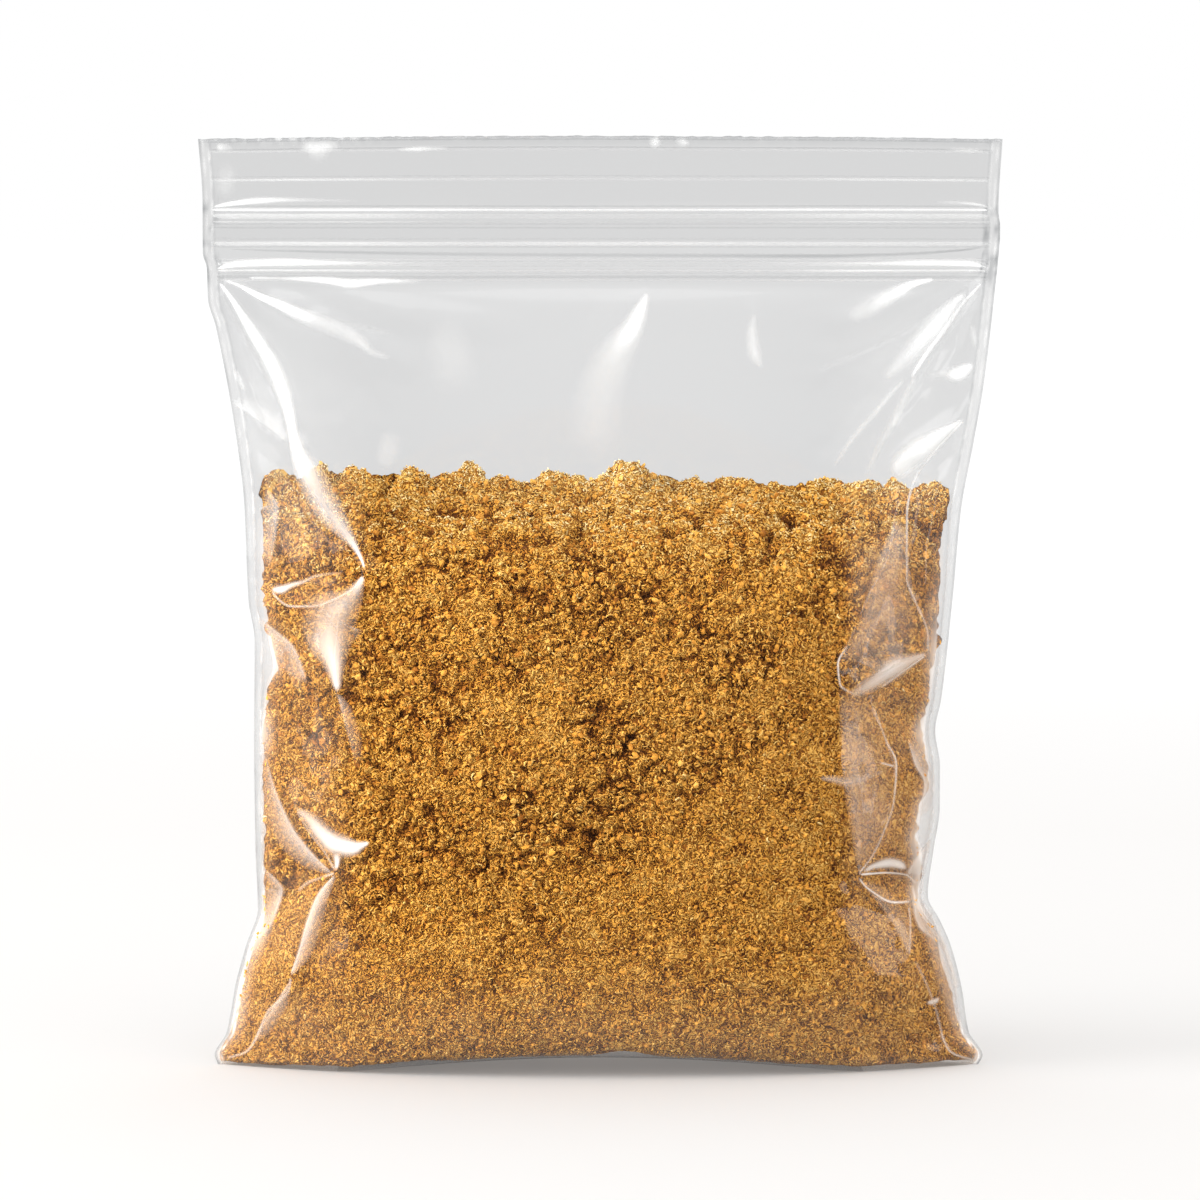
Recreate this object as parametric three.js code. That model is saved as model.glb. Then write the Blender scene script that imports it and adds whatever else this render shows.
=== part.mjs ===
// A clear press-to-close bag, two thirds full of ground cumin, shut and standing on its bottom.
// The bag was a flat one: two sheets of film joined down both sides. The powder has pushed them
// apart into a pillow, so the sides have drawn in, and film that is left over lies in folds that
// fan out from the two ends of the closure and in crumples down both sides.
// The bag and what it holds are one closed solid, since nothing can move inside it.
//
// Millimetres. X runs along the mouth, Y from the front (-Y) to the back (+Y), Z is up, and the
// origin is on the surface it stands on, under the middle of the bag.
import * as THREE from "three";

const { clamp, lerp, smoothstep } = THREE.MathUtils;

// ---- driving dimensions ----
const MOUTH_WIDTH = 178; // a one-litre (quart) bag lies 178 mm (7 in) wide
const HEIGHT = 206.5; // from the standing surface to the top of the lip, at its two ends
const LIP_CROWN = 0.7; // the lip is this much higher in the middle than at its ends
const LIP_WAVE = 1.1; // the free lip isn't quite flat, and sways this far to and fro
const LIP_WAVES = 1.65; // waves across the mouth
const BELLY_DEPTH = 55; // front to back where the bag is fullest
const FILM_PAIR = 1.0; // the two sheets where they lie together, with the air between them
const WELD_WIDTH = 2.2; // the joined strip down each side
const CLOSURE_BOTTOM = 175.2; // underside of the lowest rib of the closure
const CLOSURE_END_SQUASH = 7; // length at each end of the closure where its ribs are crushed flat
const CRUSHED_RIB = 0.25; // share of a rib's height that is left where it is crushed
const ARCH_RISE = 4.2; // it stands on its two ends: the bottom arches up this much between them
const ARCH_REACH = 58; // the arch ends, and the flat feet begin, this far from the middle
const ARCH_DEPTH = 30; // height over which the arch fades out of the bag's lower wall
const FOLD_BORDER = 9; // folds flatten out over this distance from the side welds

// Ribs of the closure: height of the middle, height of the band, and how far it stands out.
const CLOSURE_RIBS = [
  { z: 190.6, band: 1.6, rise: 0.55 },
  { z: 188.4, band: 2.8, rise: 0.95 },
  { z: 183.6, band: 3.0, rise: 1.0 },
  { z: 178.4, band: 4.0, rise: 0.9 },
  { z: 175.8, band: 1.6, rise: 0.6 },
];

// Distance from the middle of the bag to each side edge: [height, distance].
const LEFT_EDGE = [
  [0, 85.5], [2.2, 86.2], [7, 83.6], [18.7, 81.3], [27, 79], [35.2, 76.4], [49, 76.9],
  [70, 77.1], [95, 76.9], [104, 78.2], [126, 79.1], [137, 80.3], [165, 85.2], [171, 86.9],
  [178, 87.1], [181, 88], [192, 88], [HEIGHT, MOUTH_WIDTH / 2],
];
const RIGHT_EDGE = [
  [0, 84.6], [2, 85.6], [7.3, 82.5], [17, 80.9], [26.7, 78.4], [32.3, 76], [38, 73.2],
  [48, 74.4], [58, 75.8], [67, 75.8], [75, 74.7], [82, 76], [104, 78.4], [124, 80.2],
  [139, 82.9], [152, 85.1], [171, 87.3], [187, 88.6], [190.5, 88.2], [HEIGHT, MOUTH_WIDTH / 2],
];
// Half the depth at mid width, as a share of the belly's: [height, share].
const DEPTH_SHARE = [
  [0, 0.64], [0.7, 0.71], [2.2, 0.78], [4.6, 0.84], [8, 0.89], [14, 0.94], [25, 0.98], [42, 1],
  [62, 0.995], [85, 0.94], [105, 0.85], [122, 0.72], [138, 0.55], [152, 0.36], [163, 0.2],
  [171, 0.08], [CLOSURE_BOTTOM, 0],
];
// How a level cut through one face curves from mid width to the weld: 0.5 is an ellipse, 1 a lens.
const FOOT_CURVE = 0.9; // pinched towards the two corners it stands on
const BELLY_CURVE = 0.62; // full
const SHOULDER_CURVE = 0.85; // flatter again under the closure
const MIDDLE_FLATNESS = 2.3; // the power of the distance from mid width in that curve

// Folds of the film. Each runs along a line of [x, height] points. A positive rise is a ridge that
// stands out of the face and a negative one is a valley. It fades along its line.
const FRONT_FOLDS = [
  // fanning out from the left end of the closure
  { line: [[-84, 172], [-77, 158], [-71, 144], [-66, 131]], width: 5, rise: 1.7 },
  { line: [[-82, 174], [-73, 168], [-58, 161], [-44, 156]], width: 6, rise: 1.5 },
  { line: [[-80, 172], [-72, 158], [-60, 146]], width: 6, rise: -1.5 },
  { line: [[-83, 146], [-76, 141], [-69, 137]], width: 5.5, rise: 1.2 },
  // fanning out from the right end
  { line: [[84, 173], [77, 164], [70.6, 155], [61, 143], [52, 131]], width: 6, rise: 1.6 },
  { line: [[80, 172], [71, 162], [62, 152]], width: 5.5, rise: -1.4 },
  { line: [[83, 166], [78, 152], [70, 142]], width: 5.5, rise: -1.4 },
  { line: [[82, 144], [74, 141], [62, 133]], width: 5, rise: 1.5 },
  // crumples down the left side
  { line: [[-69, 139], [-61, 125], [-52.4, 111]], width: 5.5, rise: 1.5 },
  { line: [[-75, 106], [-64, 108], [-53, 111]], width: 6, rise: -2.1 },
  { line: [[-53, 110], [-60, 99], [-59, 84], [-58, 68]], width: 5.5, rise: 1.5 },
  { line: [[-76, 98], [-69, 92], [-65, 83]], width: 5, rise: -1.8 },
  { line: [[-72, 63], [-64, 52], [-58.5, 43]], width: 6, rise: 1.8 },
  { line: [[-76, 36], [-67, 37.5], [-58.5, 43]], width: 6.5, rise: -2.5 },
  { line: [[-60, 40], [-67, 22], [-77, 5]], width: 6.5, rise: 1.5 },
  // crumples down the right side
  { line: [[71, 131], [68, 116], [68.5, 106], [73, 98]], width: 6, rise: -2 },
  { line: [[69, 122], [58, 104], [53, 91], [53, 66]], width: 6, rise: 1.5 },
  { line: [[57, 85], [65, 89], [73, 92]], width: 5.5, rise: 1.4 },
  { line: [[75, 74], [68, 78], [60, 80]], width: 6, rise: -2 },
  { line: [[60, 80], [66, 66], [64, 55], [59.5, 47]], width: 5, rise: 1.5 },
  { line: [[73, 38], [66, 41], [56, 43]], width: 6.5, rise: -2.5 },
  { line: [[67, 39], [68.5, 30], [69, 22]], width: 5, rise: 1.5 },
];
const BACK_FOLDS = [
  { line: [[-84, 172], [-76, 157], [-65, 138]], width: 6, rise: 1.5 },
  { line: [[-81, 173], [-68, 160], [-52, 150]], width: 6, rise: -1.4 },
  { line: [[84, 173], [74, 158], [63, 139]], width: 6, rise: 1.6 },
  { line: [[82, 174], [67, 163], [49, 155]], width: 6, rise: 1.3 },
  { line: [[-76, 97], [-66, 101], [-55, 104]], width: 6, rise: -2.1 },
  { line: [[-75, 37], [-66, 39], [-56, 45]], width: 6.5, rise: -2.5 },
  { line: [[-56, 104], [-60, 88], [-57, 66]], width: 6, rise: 1.4 },
  { line: [[76, 78], [67, 76], [57, 72]], width: 6, rise: -2.1 },
  { line: [[74, 37], [66, 39], [57, 44]], width: 6.5, rise: -2.5 },
  { line: [[70, 128], [60, 108], [56, 88]], width: 6, rise: 1.4 },
];
const FOLD_FADE = 0.7; // share of its height that a fold has lost at the far end of its line

// ---- how finely the skin is divided ----
const COLUMNS = 38; // across each face
const SIDE_CROWDING = 0.42; // how much closer together the columns are towards the sides
const BODY_ROWS = 36; // between the rounded bottom and the closure
const BOTTOM_HEIGHTS = [0, 0.7, 2.2, 4.6, 8]; // rows round the turn of the bottom
const LIP_HEIGHTS = [194, 198, 202, HEIGHT];
const CLOSEST_RIB_ROWS = 0.5;

// A smooth curve through [height, value] points that never overshoots them.
function through(points) {
  const slope = points.slice(1).map(([z, v], i) => (v - points[i][1]) / (z - points[i][0]));
  const tangent = points.map((_, i) => {
    if (i === 0) return slope[0];
    if (i === points.length - 1) return slope[i - 1];
    const [before, after] = [slope[i - 1], slope[i]];
    return before * after <= 0 ? 0 : (2 * before * after) / (before + after);
  });
  return (z) => {
    const above = points.findIndex(([top]) => z <= top);
    const i = above < 0 ? points.length - 2 : Math.max(0, above - 1);
    const [z0, v0] = points[i];
    const [z1, v1] = points[i + 1];
    const span = z1 - z0;
    const t = clamp((z - z0) / span, 0, 1);
    const startPull = t * (1 - t) * (1 - t) * span * tangent[i];
    const endPull = t * t * (t - 1) * span * tangent[i + 1];
    return lerp(v0, v1, t * t * (3 - 2 * t)) + startPull + endPull;
  };
}

const leftEdge = through(LEFT_EDGE);
const rightEdge = through(RIGHT_EDGE);
const depthShare = through(DEPTH_SHARE);

// 1 in the middle of a ridge, falling smoothly to 0 at this reach from it.
const ridge = (distance, reach) => (1 - Math.min(1, Math.abs(distance) / reach) ** 2) ** 2;

// Height that a fold gives the face at [x, z].
function foldRise({ line, width, rise }, x, z) {
  const legs = line.slice(1).map(([x1, z1], i) => Math.hypot(x1 - line[i][0], z1 - line[i][1]));
  const whole = legs.reduce((sum, leg) => sum + leg, 0);
  let passed = 0;
  let height = 0;
  legs.forEach((leg, i) => {
    const [x0, z0] = line[i];
    const [dx, dz] = [line[i + 1][0] - x0, line[i + 1][1] - z0];
    const t = clamp(((x - x0) * dx + (z - z0) * dz) / (leg * leg), 0, 1);
    const off = Math.hypot(x - x0 - t * dx, z - z0 - t * dz);
    const fade = 1 - FOLD_FADE * ((passed + t * leg) / whole) ** 2;
    height = Math.max(height, ridge(off, width) * fade);
    passed += leg;
  });
  return rise * height;
}

// How far the closure's ribs stand out at height z, at this distance in from the side edge.
function ribRise(z, fromEdge) {
  const whole = smoothstep(fromEdge, WELD_WIDTH, CLOSURE_END_SQUASH);
  const share = lerp(CRUSHED_RIB, 1, whole);
  return CLOSURE_RIBS.reduce((sum, rib) => sum + rib.rise * share * ridge(z - rib.z, rib.band * 0.75), 0);
}

// How far one sheet lies from the middle plane: the pillow's swell, its folds and the ribs.
function standOff(x, z, edge, folds) {
  const body = lerp(BELLY_CURVE, SHOULDER_CURVE, smoothstep(z, 95, 170));
  const curve = lerp(FOOT_CURVE, body, smoothstep(z, 0, 22));
  const reach = Math.min(1, Math.abs(x) / (edge - WELD_WIDTH));
  const swell = (1 - reach ** MIDDLE_FLATNESS) ** curve;
  const pillow = (BELLY_DEPTH / 2) * depthShare(z) * swell;
  const fromEdge = edge - Math.abs(x);
  const loose = clamp((fromEdge - WELD_WIDTH) / FOLD_BORDER, 0, 1) * smoothstep(z, 1, 9);
  const creased = loose * folds.reduce((sum, fold) => sum + foldRise(fold, x, z), 0);
  return FILM_PAIR / 2 + Math.max(0, pillow + creased) + ribRise(z, fromEdge);
}

// The surface midway between the two sheets: flat, but for the slow waves of the free lip.
function lipSway(x, z) {
  const phase = (2 * Math.PI * LIP_WAVES * x) / MOUTH_WIDTH;
  return LIP_WAVE * smoothstep(z, 188, HEIGHT) * Math.sin(phase + 0.6);
}

// Rows of the skin from the bottom to the top of the lip.
function rowHeights() {
  const start = BOTTOM_HEIGHTS.at(-1);
  const step = (CLOSURE_BOTTOM - 1 - start) / BODY_ROWS;
  const body = Array.from({ length: BODY_ROWS }, (_, i) => start + step * (i + 1));
  const ribs = CLOSURE_RIBS.flatMap(({ z, band }) => [z - band * 0.55, z, z + band * 0.55])
    .sort((a, b) => a - b)
    .filter((z, i, all) => i === 0 || z - all[i - 1] > CLOSEST_RIB_ROWS);
  return [...BOTTOM_HEIGHTS, ...body, ...ribs, ...LIP_HEIGHTS];
}

// Columns across a face, from the left edge (-1) to the right edge (1).
function columnShares() {
  return Array.from({ length: COLUMNS + 1 }, (_, i) =>
    lerp((2 * i) / COLUMNS - 1, Math.sin(((2 * i) / COLUMNS - 1) * (Math.PI / 2)), SIDE_CROWDING),
  );
}

// One point of the skin. face is -1 for the front sheet and 1 for the back one.
function skinPoint(u, row, face) {
  const edge = u < 0 ? leftEdge(row) : rightEdge(row);
  const x = u * edge;
  const off = standOff(x, row, edge, face < 0 ? FRONT_FOLDS : BACK_FOLDS);
  const crown = LIP_CROWN * (1 - u * u) * smoothstep(row, 190, HEIGHT);
  const span = Math.max(0, 1 - (x / ARCH_REACH) ** 2);
  const arch = ARCH_RISE * span ** 1.2 * (1 - smoothstep(row, 3, ARCH_DEPTH));
  return [x, lipSway(x, row) + face * off, row + crown + arch];
}

// The closed skin: rings of points from bottom to top, capped by strips between the two sheets.
function pouchGeometry() {
  const rows = rowHeights();
  const shares = columnShares();
  const ring = 2 * shares.length;
  const points = rows.flatMap((row) => [
    ...shares.map((u) => skinPoint(u, row, -1)),
    ...[...shares].reverse().map((u) => skinPoint(u, row, 1)),
  ]);
  const faces = [];
  const quad = (a, b, c, d) => faces.push(a, b, c, a, c, d);
  for (let r = 0; r < rows.length - 1; r++) {
    for (let i = 0; i < ring; i++) {
      const next = (i + 1) % ring;
      quad(r * ring + i, r * ring + next, (r + 1) * ring + next, (r + 1) * ring + i);
    }
  }
  const top = (rows.length - 1) * ring;
  for (let i = 0; i < shares.length - 1; i++) {
    const opposite = ring - 1 - i;
    quad(opposite, opposite - 1, i + 1, i);
    quad(top + i, top + i + 1, top + opposite - 1, top + opposite);
  }
  const geometry = new THREE.BufferGeometry();
  geometry.setAttribute("position", new THREE.Float32BufferAttribute(points.flat(), 3));
  geometry.setIndex(faces);
  geometry.computeVertexNormals();
  return geometry;
}

const groundCumin = new THREE.MeshStandardMaterial({ color: 0xa97637, roughness: 0.6, metalness: 0 });
const pouch = new THREE.Mesh(pouchGeometry(), groundCumin);
pouch.name = "pouch";

const group = new THREE.Group();
group.add(pouch);
export default group;
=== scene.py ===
"""A clear press-to-close bag of ground cumin, shut and standing on its bottom.

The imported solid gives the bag's outer form. Here it is replaced by what the real pouch is made of:
a skin of thin film with its folds and crumples, the ribbed closure, and the cumin inside, which is
a core with clumps and pits in its surface under a layer of loose, curled flakes.
"""
import itertools
import math
import bmesh
import bpy
import numpy as np
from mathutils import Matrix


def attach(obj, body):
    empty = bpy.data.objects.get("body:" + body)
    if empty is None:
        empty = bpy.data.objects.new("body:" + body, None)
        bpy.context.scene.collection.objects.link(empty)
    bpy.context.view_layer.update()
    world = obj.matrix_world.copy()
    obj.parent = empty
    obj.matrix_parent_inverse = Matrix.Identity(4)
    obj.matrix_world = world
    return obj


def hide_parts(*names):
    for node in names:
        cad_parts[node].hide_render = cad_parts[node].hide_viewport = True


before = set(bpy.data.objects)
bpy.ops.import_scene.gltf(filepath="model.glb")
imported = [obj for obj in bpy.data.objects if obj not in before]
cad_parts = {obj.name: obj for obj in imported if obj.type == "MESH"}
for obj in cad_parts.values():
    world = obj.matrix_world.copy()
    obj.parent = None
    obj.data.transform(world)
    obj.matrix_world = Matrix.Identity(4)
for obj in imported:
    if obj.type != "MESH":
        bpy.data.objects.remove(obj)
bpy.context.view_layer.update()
MM = 0.001

# ---- the bag's driving dimensions, in millimetres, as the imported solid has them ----
MOUTH_WIDTH = 178.0
HEIGHT = 206.5
LIP_CROWN = 0.7  # how much higher the lip is at its middle
LIP_WAVE = 1.1  # how far the lip sways to the front and back
LIP_WAVES = 1.65  # and how many times over its width
BELLY_DEPTH = 55.0
WELD_WIDTH = 2.2
ROLLED_WELD = 1.5  # width of the side weld low down, where it is rolled up
CLOSURE_BOTTOM = 175.2
ARCH_RISE = 4.2  # how far the middle of the bottom is off the ground
ARCH_REACH = 58.0  # half the width of that arch
ARCH_DEPTH = 30.0  # how far up the bag it is felt
FILM_GAP = 0.16  # half the distance between the two sheets where they lie together
# (height, distance of the edge from the middle of the bag)
LEFT_EDGE = (
    (0, 85.5), (2.2, 86.2), (7, 83.6), (18.7, 81.3), (27, 79), (35.2, 76.4), (49, 76.9),
    (70, 77.1), (95, 76.9), (104, 78.2), (126, 79.1), (137, 80.3), (165, 85.2), (171, 86.9),
    (178, 87.1), (181, 88), (192, 88), (HEIGHT, MOUTH_WIDTH / 2),
)
RIGHT_EDGE = (
    (0, 84.6), (2, 85.6), (7.3, 82.5), (17, 80.9), (26.7, 78.4), (32.3, 76), (38, 73.2),
    (48, 74.4), (58, 75.8), (67, 75.8), (75, 74.7), (82, 76), (104, 78.4), (124, 80.2),
    (139, 82.9), (152, 85.1), (171, 87.3), (187, 88.6), (190.5, 88.2), (HEIGHT, MOUTH_WIDTH / 2),
)
# (height, share of the belly's depth)
DEPTH_SHARE = (
    (0, 0.64), (0.7, 0.71), (2.2, 0.78), (4.6, 0.84), (8, 0.89), (14, 0.94), (25, 0.98), (42, 1),
    (62, 0.995), (85, 0.94), (105, 0.85), (122, 0.72), (138, 0.55), (152, 0.36), (163, 0.2),
    (171, 0.08), (CLOSURE_BOTTOM, 0),
)
# How the swell rounds off towards the side welds. A lower number is fuller.
FOOT_CURVE, BELLY_CURVE, SHOULDER_CURVE = 0.9, 0.62, 0.85
MIDDLE_FLATNESS = 2.3


def smoothstep(value, low, high):
    t = np.clip((value - low) / (high - low), 0, 1)
    return t * t * (3 - 2 * t)


def blend(a, b, share):
    return a + (b - a) * share


def through(points):
    """A smooth curve through (height, value) points that never overshoots them."""
    at, value = np.array(points, float).T
    slope = np.diff(value) / np.diff(at)
    before, after = slope[:-1], slope[1:]
    turn = before * after
    middle = np.where(turn <= 0, 0, 2 * turn / np.where(turn <= 0, 1, before + after))
    tangent = np.concatenate([slope[:1], middle, slope[-1:]])

    def curve(z):
        i = np.clip(np.searchsorted(at, z, side="left") - 1, 0, len(at) - 2)
        span = at[i + 1] - at[i]
        t = np.clip((z - at[i]) / span, 0, 1)
        pull = t * (1 - t) ** 2 * span * tangent[i] + t * t * (t - 1) * span * tangent[i + 1]
        return blend(value[i], value[i + 1], t * t * (3 - 2 * t)) + pull

    return curve


left_edge, right_edge, depth_share = through(LEFT_EDGE), through(RIGHT_EDGE), through(DEPTH_SHARE)


def edge_at(x, z):
    """How far out the bag reaches at a height, on the side on which x lies."""
    return np.where(x < 0, left_edge(z), right_edge(z))


def band(off, width):
    """1 along a line, and falling away softly beside it."""
    return np.exp(-(off / width) ** 2)


# ---- seeded noise for shapes ----
LATTICE = 256  # cells each way before the noise repeats


def lattice_cell(a, b, size, shift):
    """The cell of a lattice that each place is in, and how far into it the place lies."""
    a, b = np.asarray(a) / size + shift[0], np.asarray(b) / size + shift[1]
    ia, ib = np.floor(a).astype(int), np.floor(b).astype(int)
    return ia, ib, a - ia, b - ib


class Lumps:
    """Smooth random bumps from -1 to 1 over a plane, the same each run: a lattice of random values
    with a smooth blend between them."""

    def __init__(self, seed):
        self.table = np.random.default_rng(seed).uniform(-1, 1, (LATTICE, LATTICE))

    def __call__(self, a, b, size):
        ia, ib, fa, fb = lattice_cell(a, b, size, (101.3, 57.7))
        fa, fb = fa * fa * (3 - 2 * fa), fb * fb * (3 - 2 * fb)
        near_a, near_b, far_a, far_b = (i % LATTICE for i in (ia, ib, ia + 1, ib + 1))
        low = blend(self.table[near_a, near_b], self.table[far_a, near_b], fa)
        high = blend(self.table[near_a, far_b], self.table[far_a, far_b], fa)
        return blend(low, high, fb)


class Cells:
    """Random spots in a lattice, the same each run. It gives the distance of a place from the nearest
    spot and from the next, as a share of the size."""

    def __init__(self, seed):
        self.table = np.random.default_rng(seed).uniform(0, 1, (2, LATTICE, LATTICE))

    def __call__(self, a, b, size):
        ia, ib, fa, fb = lattice_cell(a, b, size, (311.7, 173.3))
        near = after = np.full(fa.shape, 9.0)
        for da, db in itertools.product((-1, 0, 1), repeat=2):
            spot_a, spot_b = self.table[:, (ia + da) % LATTICE, (ib + db) % LATTICE]
            away = np.hypot(fa - da - spot_a, fb - db - spot_b)
            after = np.minimum(after, np.maximum(near, away))
            near = np.minimum(near, away)
        return near, after


# ---- folds of the film ----
# (points of [x, height] along the fold, width, rise, edge). A positive rise is a ridge. A soft edge
# (0) is a round swell, and a crisp one (1) is two flat facets that meet in a sharp line.
FRONT_FOLDS = (
    # fanning out from the left end of the closure
    (((-83.6, 172.3), (-76.6, 160.5), (-70.8, 147), (-66, 133)), 4.2, 2.0, 1),
    (((-81.6, 174.3), (-72.6, 170), (-60, 164.5), (-44, 157)), 4.6, 1.8, 1),
    (((-79.6, 172.3), (-71.5, 160), (-60, 148)), 6, -1.5, 0),
    (((-82.7, 146.4), (-75.6, 142.5), (-68.5, 139)), 4.5, 1.3, 1),
    (((-81.7, 151), (-76.6, 149.5), (-69.5, 148.6)), 2.6, 0.6, 1),
    (((-65.6, 172.3), (-43.6, 167.4), (-19.7, 164.5)), 5, 0.5, 0),
    # fanning out from the right end
    (((83.8, 173.3), (76.8, 165), (70.4, 156.2), (60.6, 145), (51.5, 133)), 4.6, 1.9, 1),
    (((81.8, 171.3), (71.8, 162.4), (62.5, 153.6)), 4.2, 1.0, 1),
    (((79.8, 174.3), (66, 170), (53, 166)), 4.0, 1.1, 1),
    (((79.8, 167), (70.7, 158), (61.6, 148)), 5.5, -1.2, 0),
    (((82.8, 167), (77.8, 153), (69.7, 143)), 5, -1.3, 0),
    (((81.5, 145), (74.5, 140.8), (63.5, 133)), 3.8, 1.9, 1),
    (((80.9, 143.5), (73, 136), (68.5, 128)), 2.6, 0.8, 1),
    # crumples down the left side
    (((-67, 138), (-64.4, 132.5), (-60.3, 125), (-51.6, 112)), 3.6, 1.7, 1),
    (((-74.7, 106.6), (-63.3, 109.2), (-52.2, 112)), 5, -2.1, 0),
    (((-72.8, 106), (-68, 103.4), (-60, 104.3), (-53, 109)), 2.4, 1.0, 1),
    (((-51.8, 111), (-57, 102), (-58.2, 93), (-57.6, 84), (-55, 74)), 4.2, 1.7, 1),
    (((-75.9, 99.4), (-68.5, 95), (-64.6, 86.4)), 4, -1.8, 0),
    (((-70, 61.9), (-63.4, 53.6), (-58.2, 45.4)), 4.4, 1.8, 1),
    (((-67.5, 58.8), (-58.3, 53.5), (-51, 52)), 4.0, 1.2, 1),
    (((-76.1, 37.1), (-66.6, 39.8), (-58.2, 45)), 5, -2.5, 0),
    (((-59.3, 43), (-66, 29), (-68.4, 21), (-77, 5.3)), 4.6, 1.7, 1),
    (((-84.4, 1.2), (-79.1, 3.5), (-76, 6)), 2.2, 0.9, 1),
    # crumples down the right side
    (((70.7, 131.7), (67.8, 117), (68.1, 107), (72.7, 95)), 4.6, -2.0, 0),
    (((68.6, 123.9), (58.4, 106), (52.2, 91), (52.6, 70)), 4.2, 1.6, 1),
    (((56.4, 86.5), (64.6, 90.8), (72.9, 92.7)), 3.4, 1.6, 1),
    (((75.2, 75.4), (67.7, 80.1), (59.5, 82.6)), 4.6, -2.0, 0),
    (((59.5, 82.6), (65.5, 68.3), (63.6, 56.5), (57.5, 45.5)), 3.8, 1.6, 1),
    (((53.2, 67), (55, 56), (56.8, 45)), 3.2, 1.0, 1),
    (((73.3, 38.6), (65.9, 42.1), (55.6, 45)), 5.2, -2.5, 0),
    (((56.8, 44.8), (66.9, 44), (71.3, 40.6)), 2.2, 0.9, 1),
    (((58.6, 42.5), (65.5, 37.5), (69.4, 37), (68.7, 26)), 3.6, 1.5, 1),
    (((77, 6), (79.4, 3.4), (84.1, 1)), 2.2, 0.9, 1),
)
BACK_FOLDS = (
    (((-84, 172), (-76, 157), (-65, 138)), 4.6, 1.8, 1),
    (((-81, 173), (-68, 160), (-52, 150)), 6, -1.4, 0),
    (((-82, 176), (-66, 168), (-46, 163)), 4, 1.2, 1),
    (((84, 173), (74, 158), (63, 139)), 4.6, 1.9, 1),
    (((82, 174), (67, 163), (49, 155)), 4.6, 1.5, 1),
    (((-76, 97), (-66, 101), (-55, 104)), 5, -2.1, 0),
    (((-75, 37), (-66, 39), (-56, 45)), 5, -2.5, 0),
    (((-56, 104), (-60, 88), (-57, 66)), 4.2, 1.6, 1),
    (((-70, 130), (-62, 116), (-56, 104)), 3.8, 1.4, 1),
    (((-60, 42), (-67, 22), (-77, 5)), 4.6, 1.5, 1),
    (((76, 78), (67, 76), (57, 72)), 5, -2.1, 0),
    (((74, 37), (66, 39), (57, 44)), 5, -2.5, 0),
    (((70, 128), (60, 108), (56, 88)), 4.2, 1.6, 1),
    (((57, 72), (64, 58), (58, 45)), 3.8, 1.5, 1),
    (((60, 42), (67, 22), (77, 5)), 4.6, 1.5, 1),
)
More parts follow.
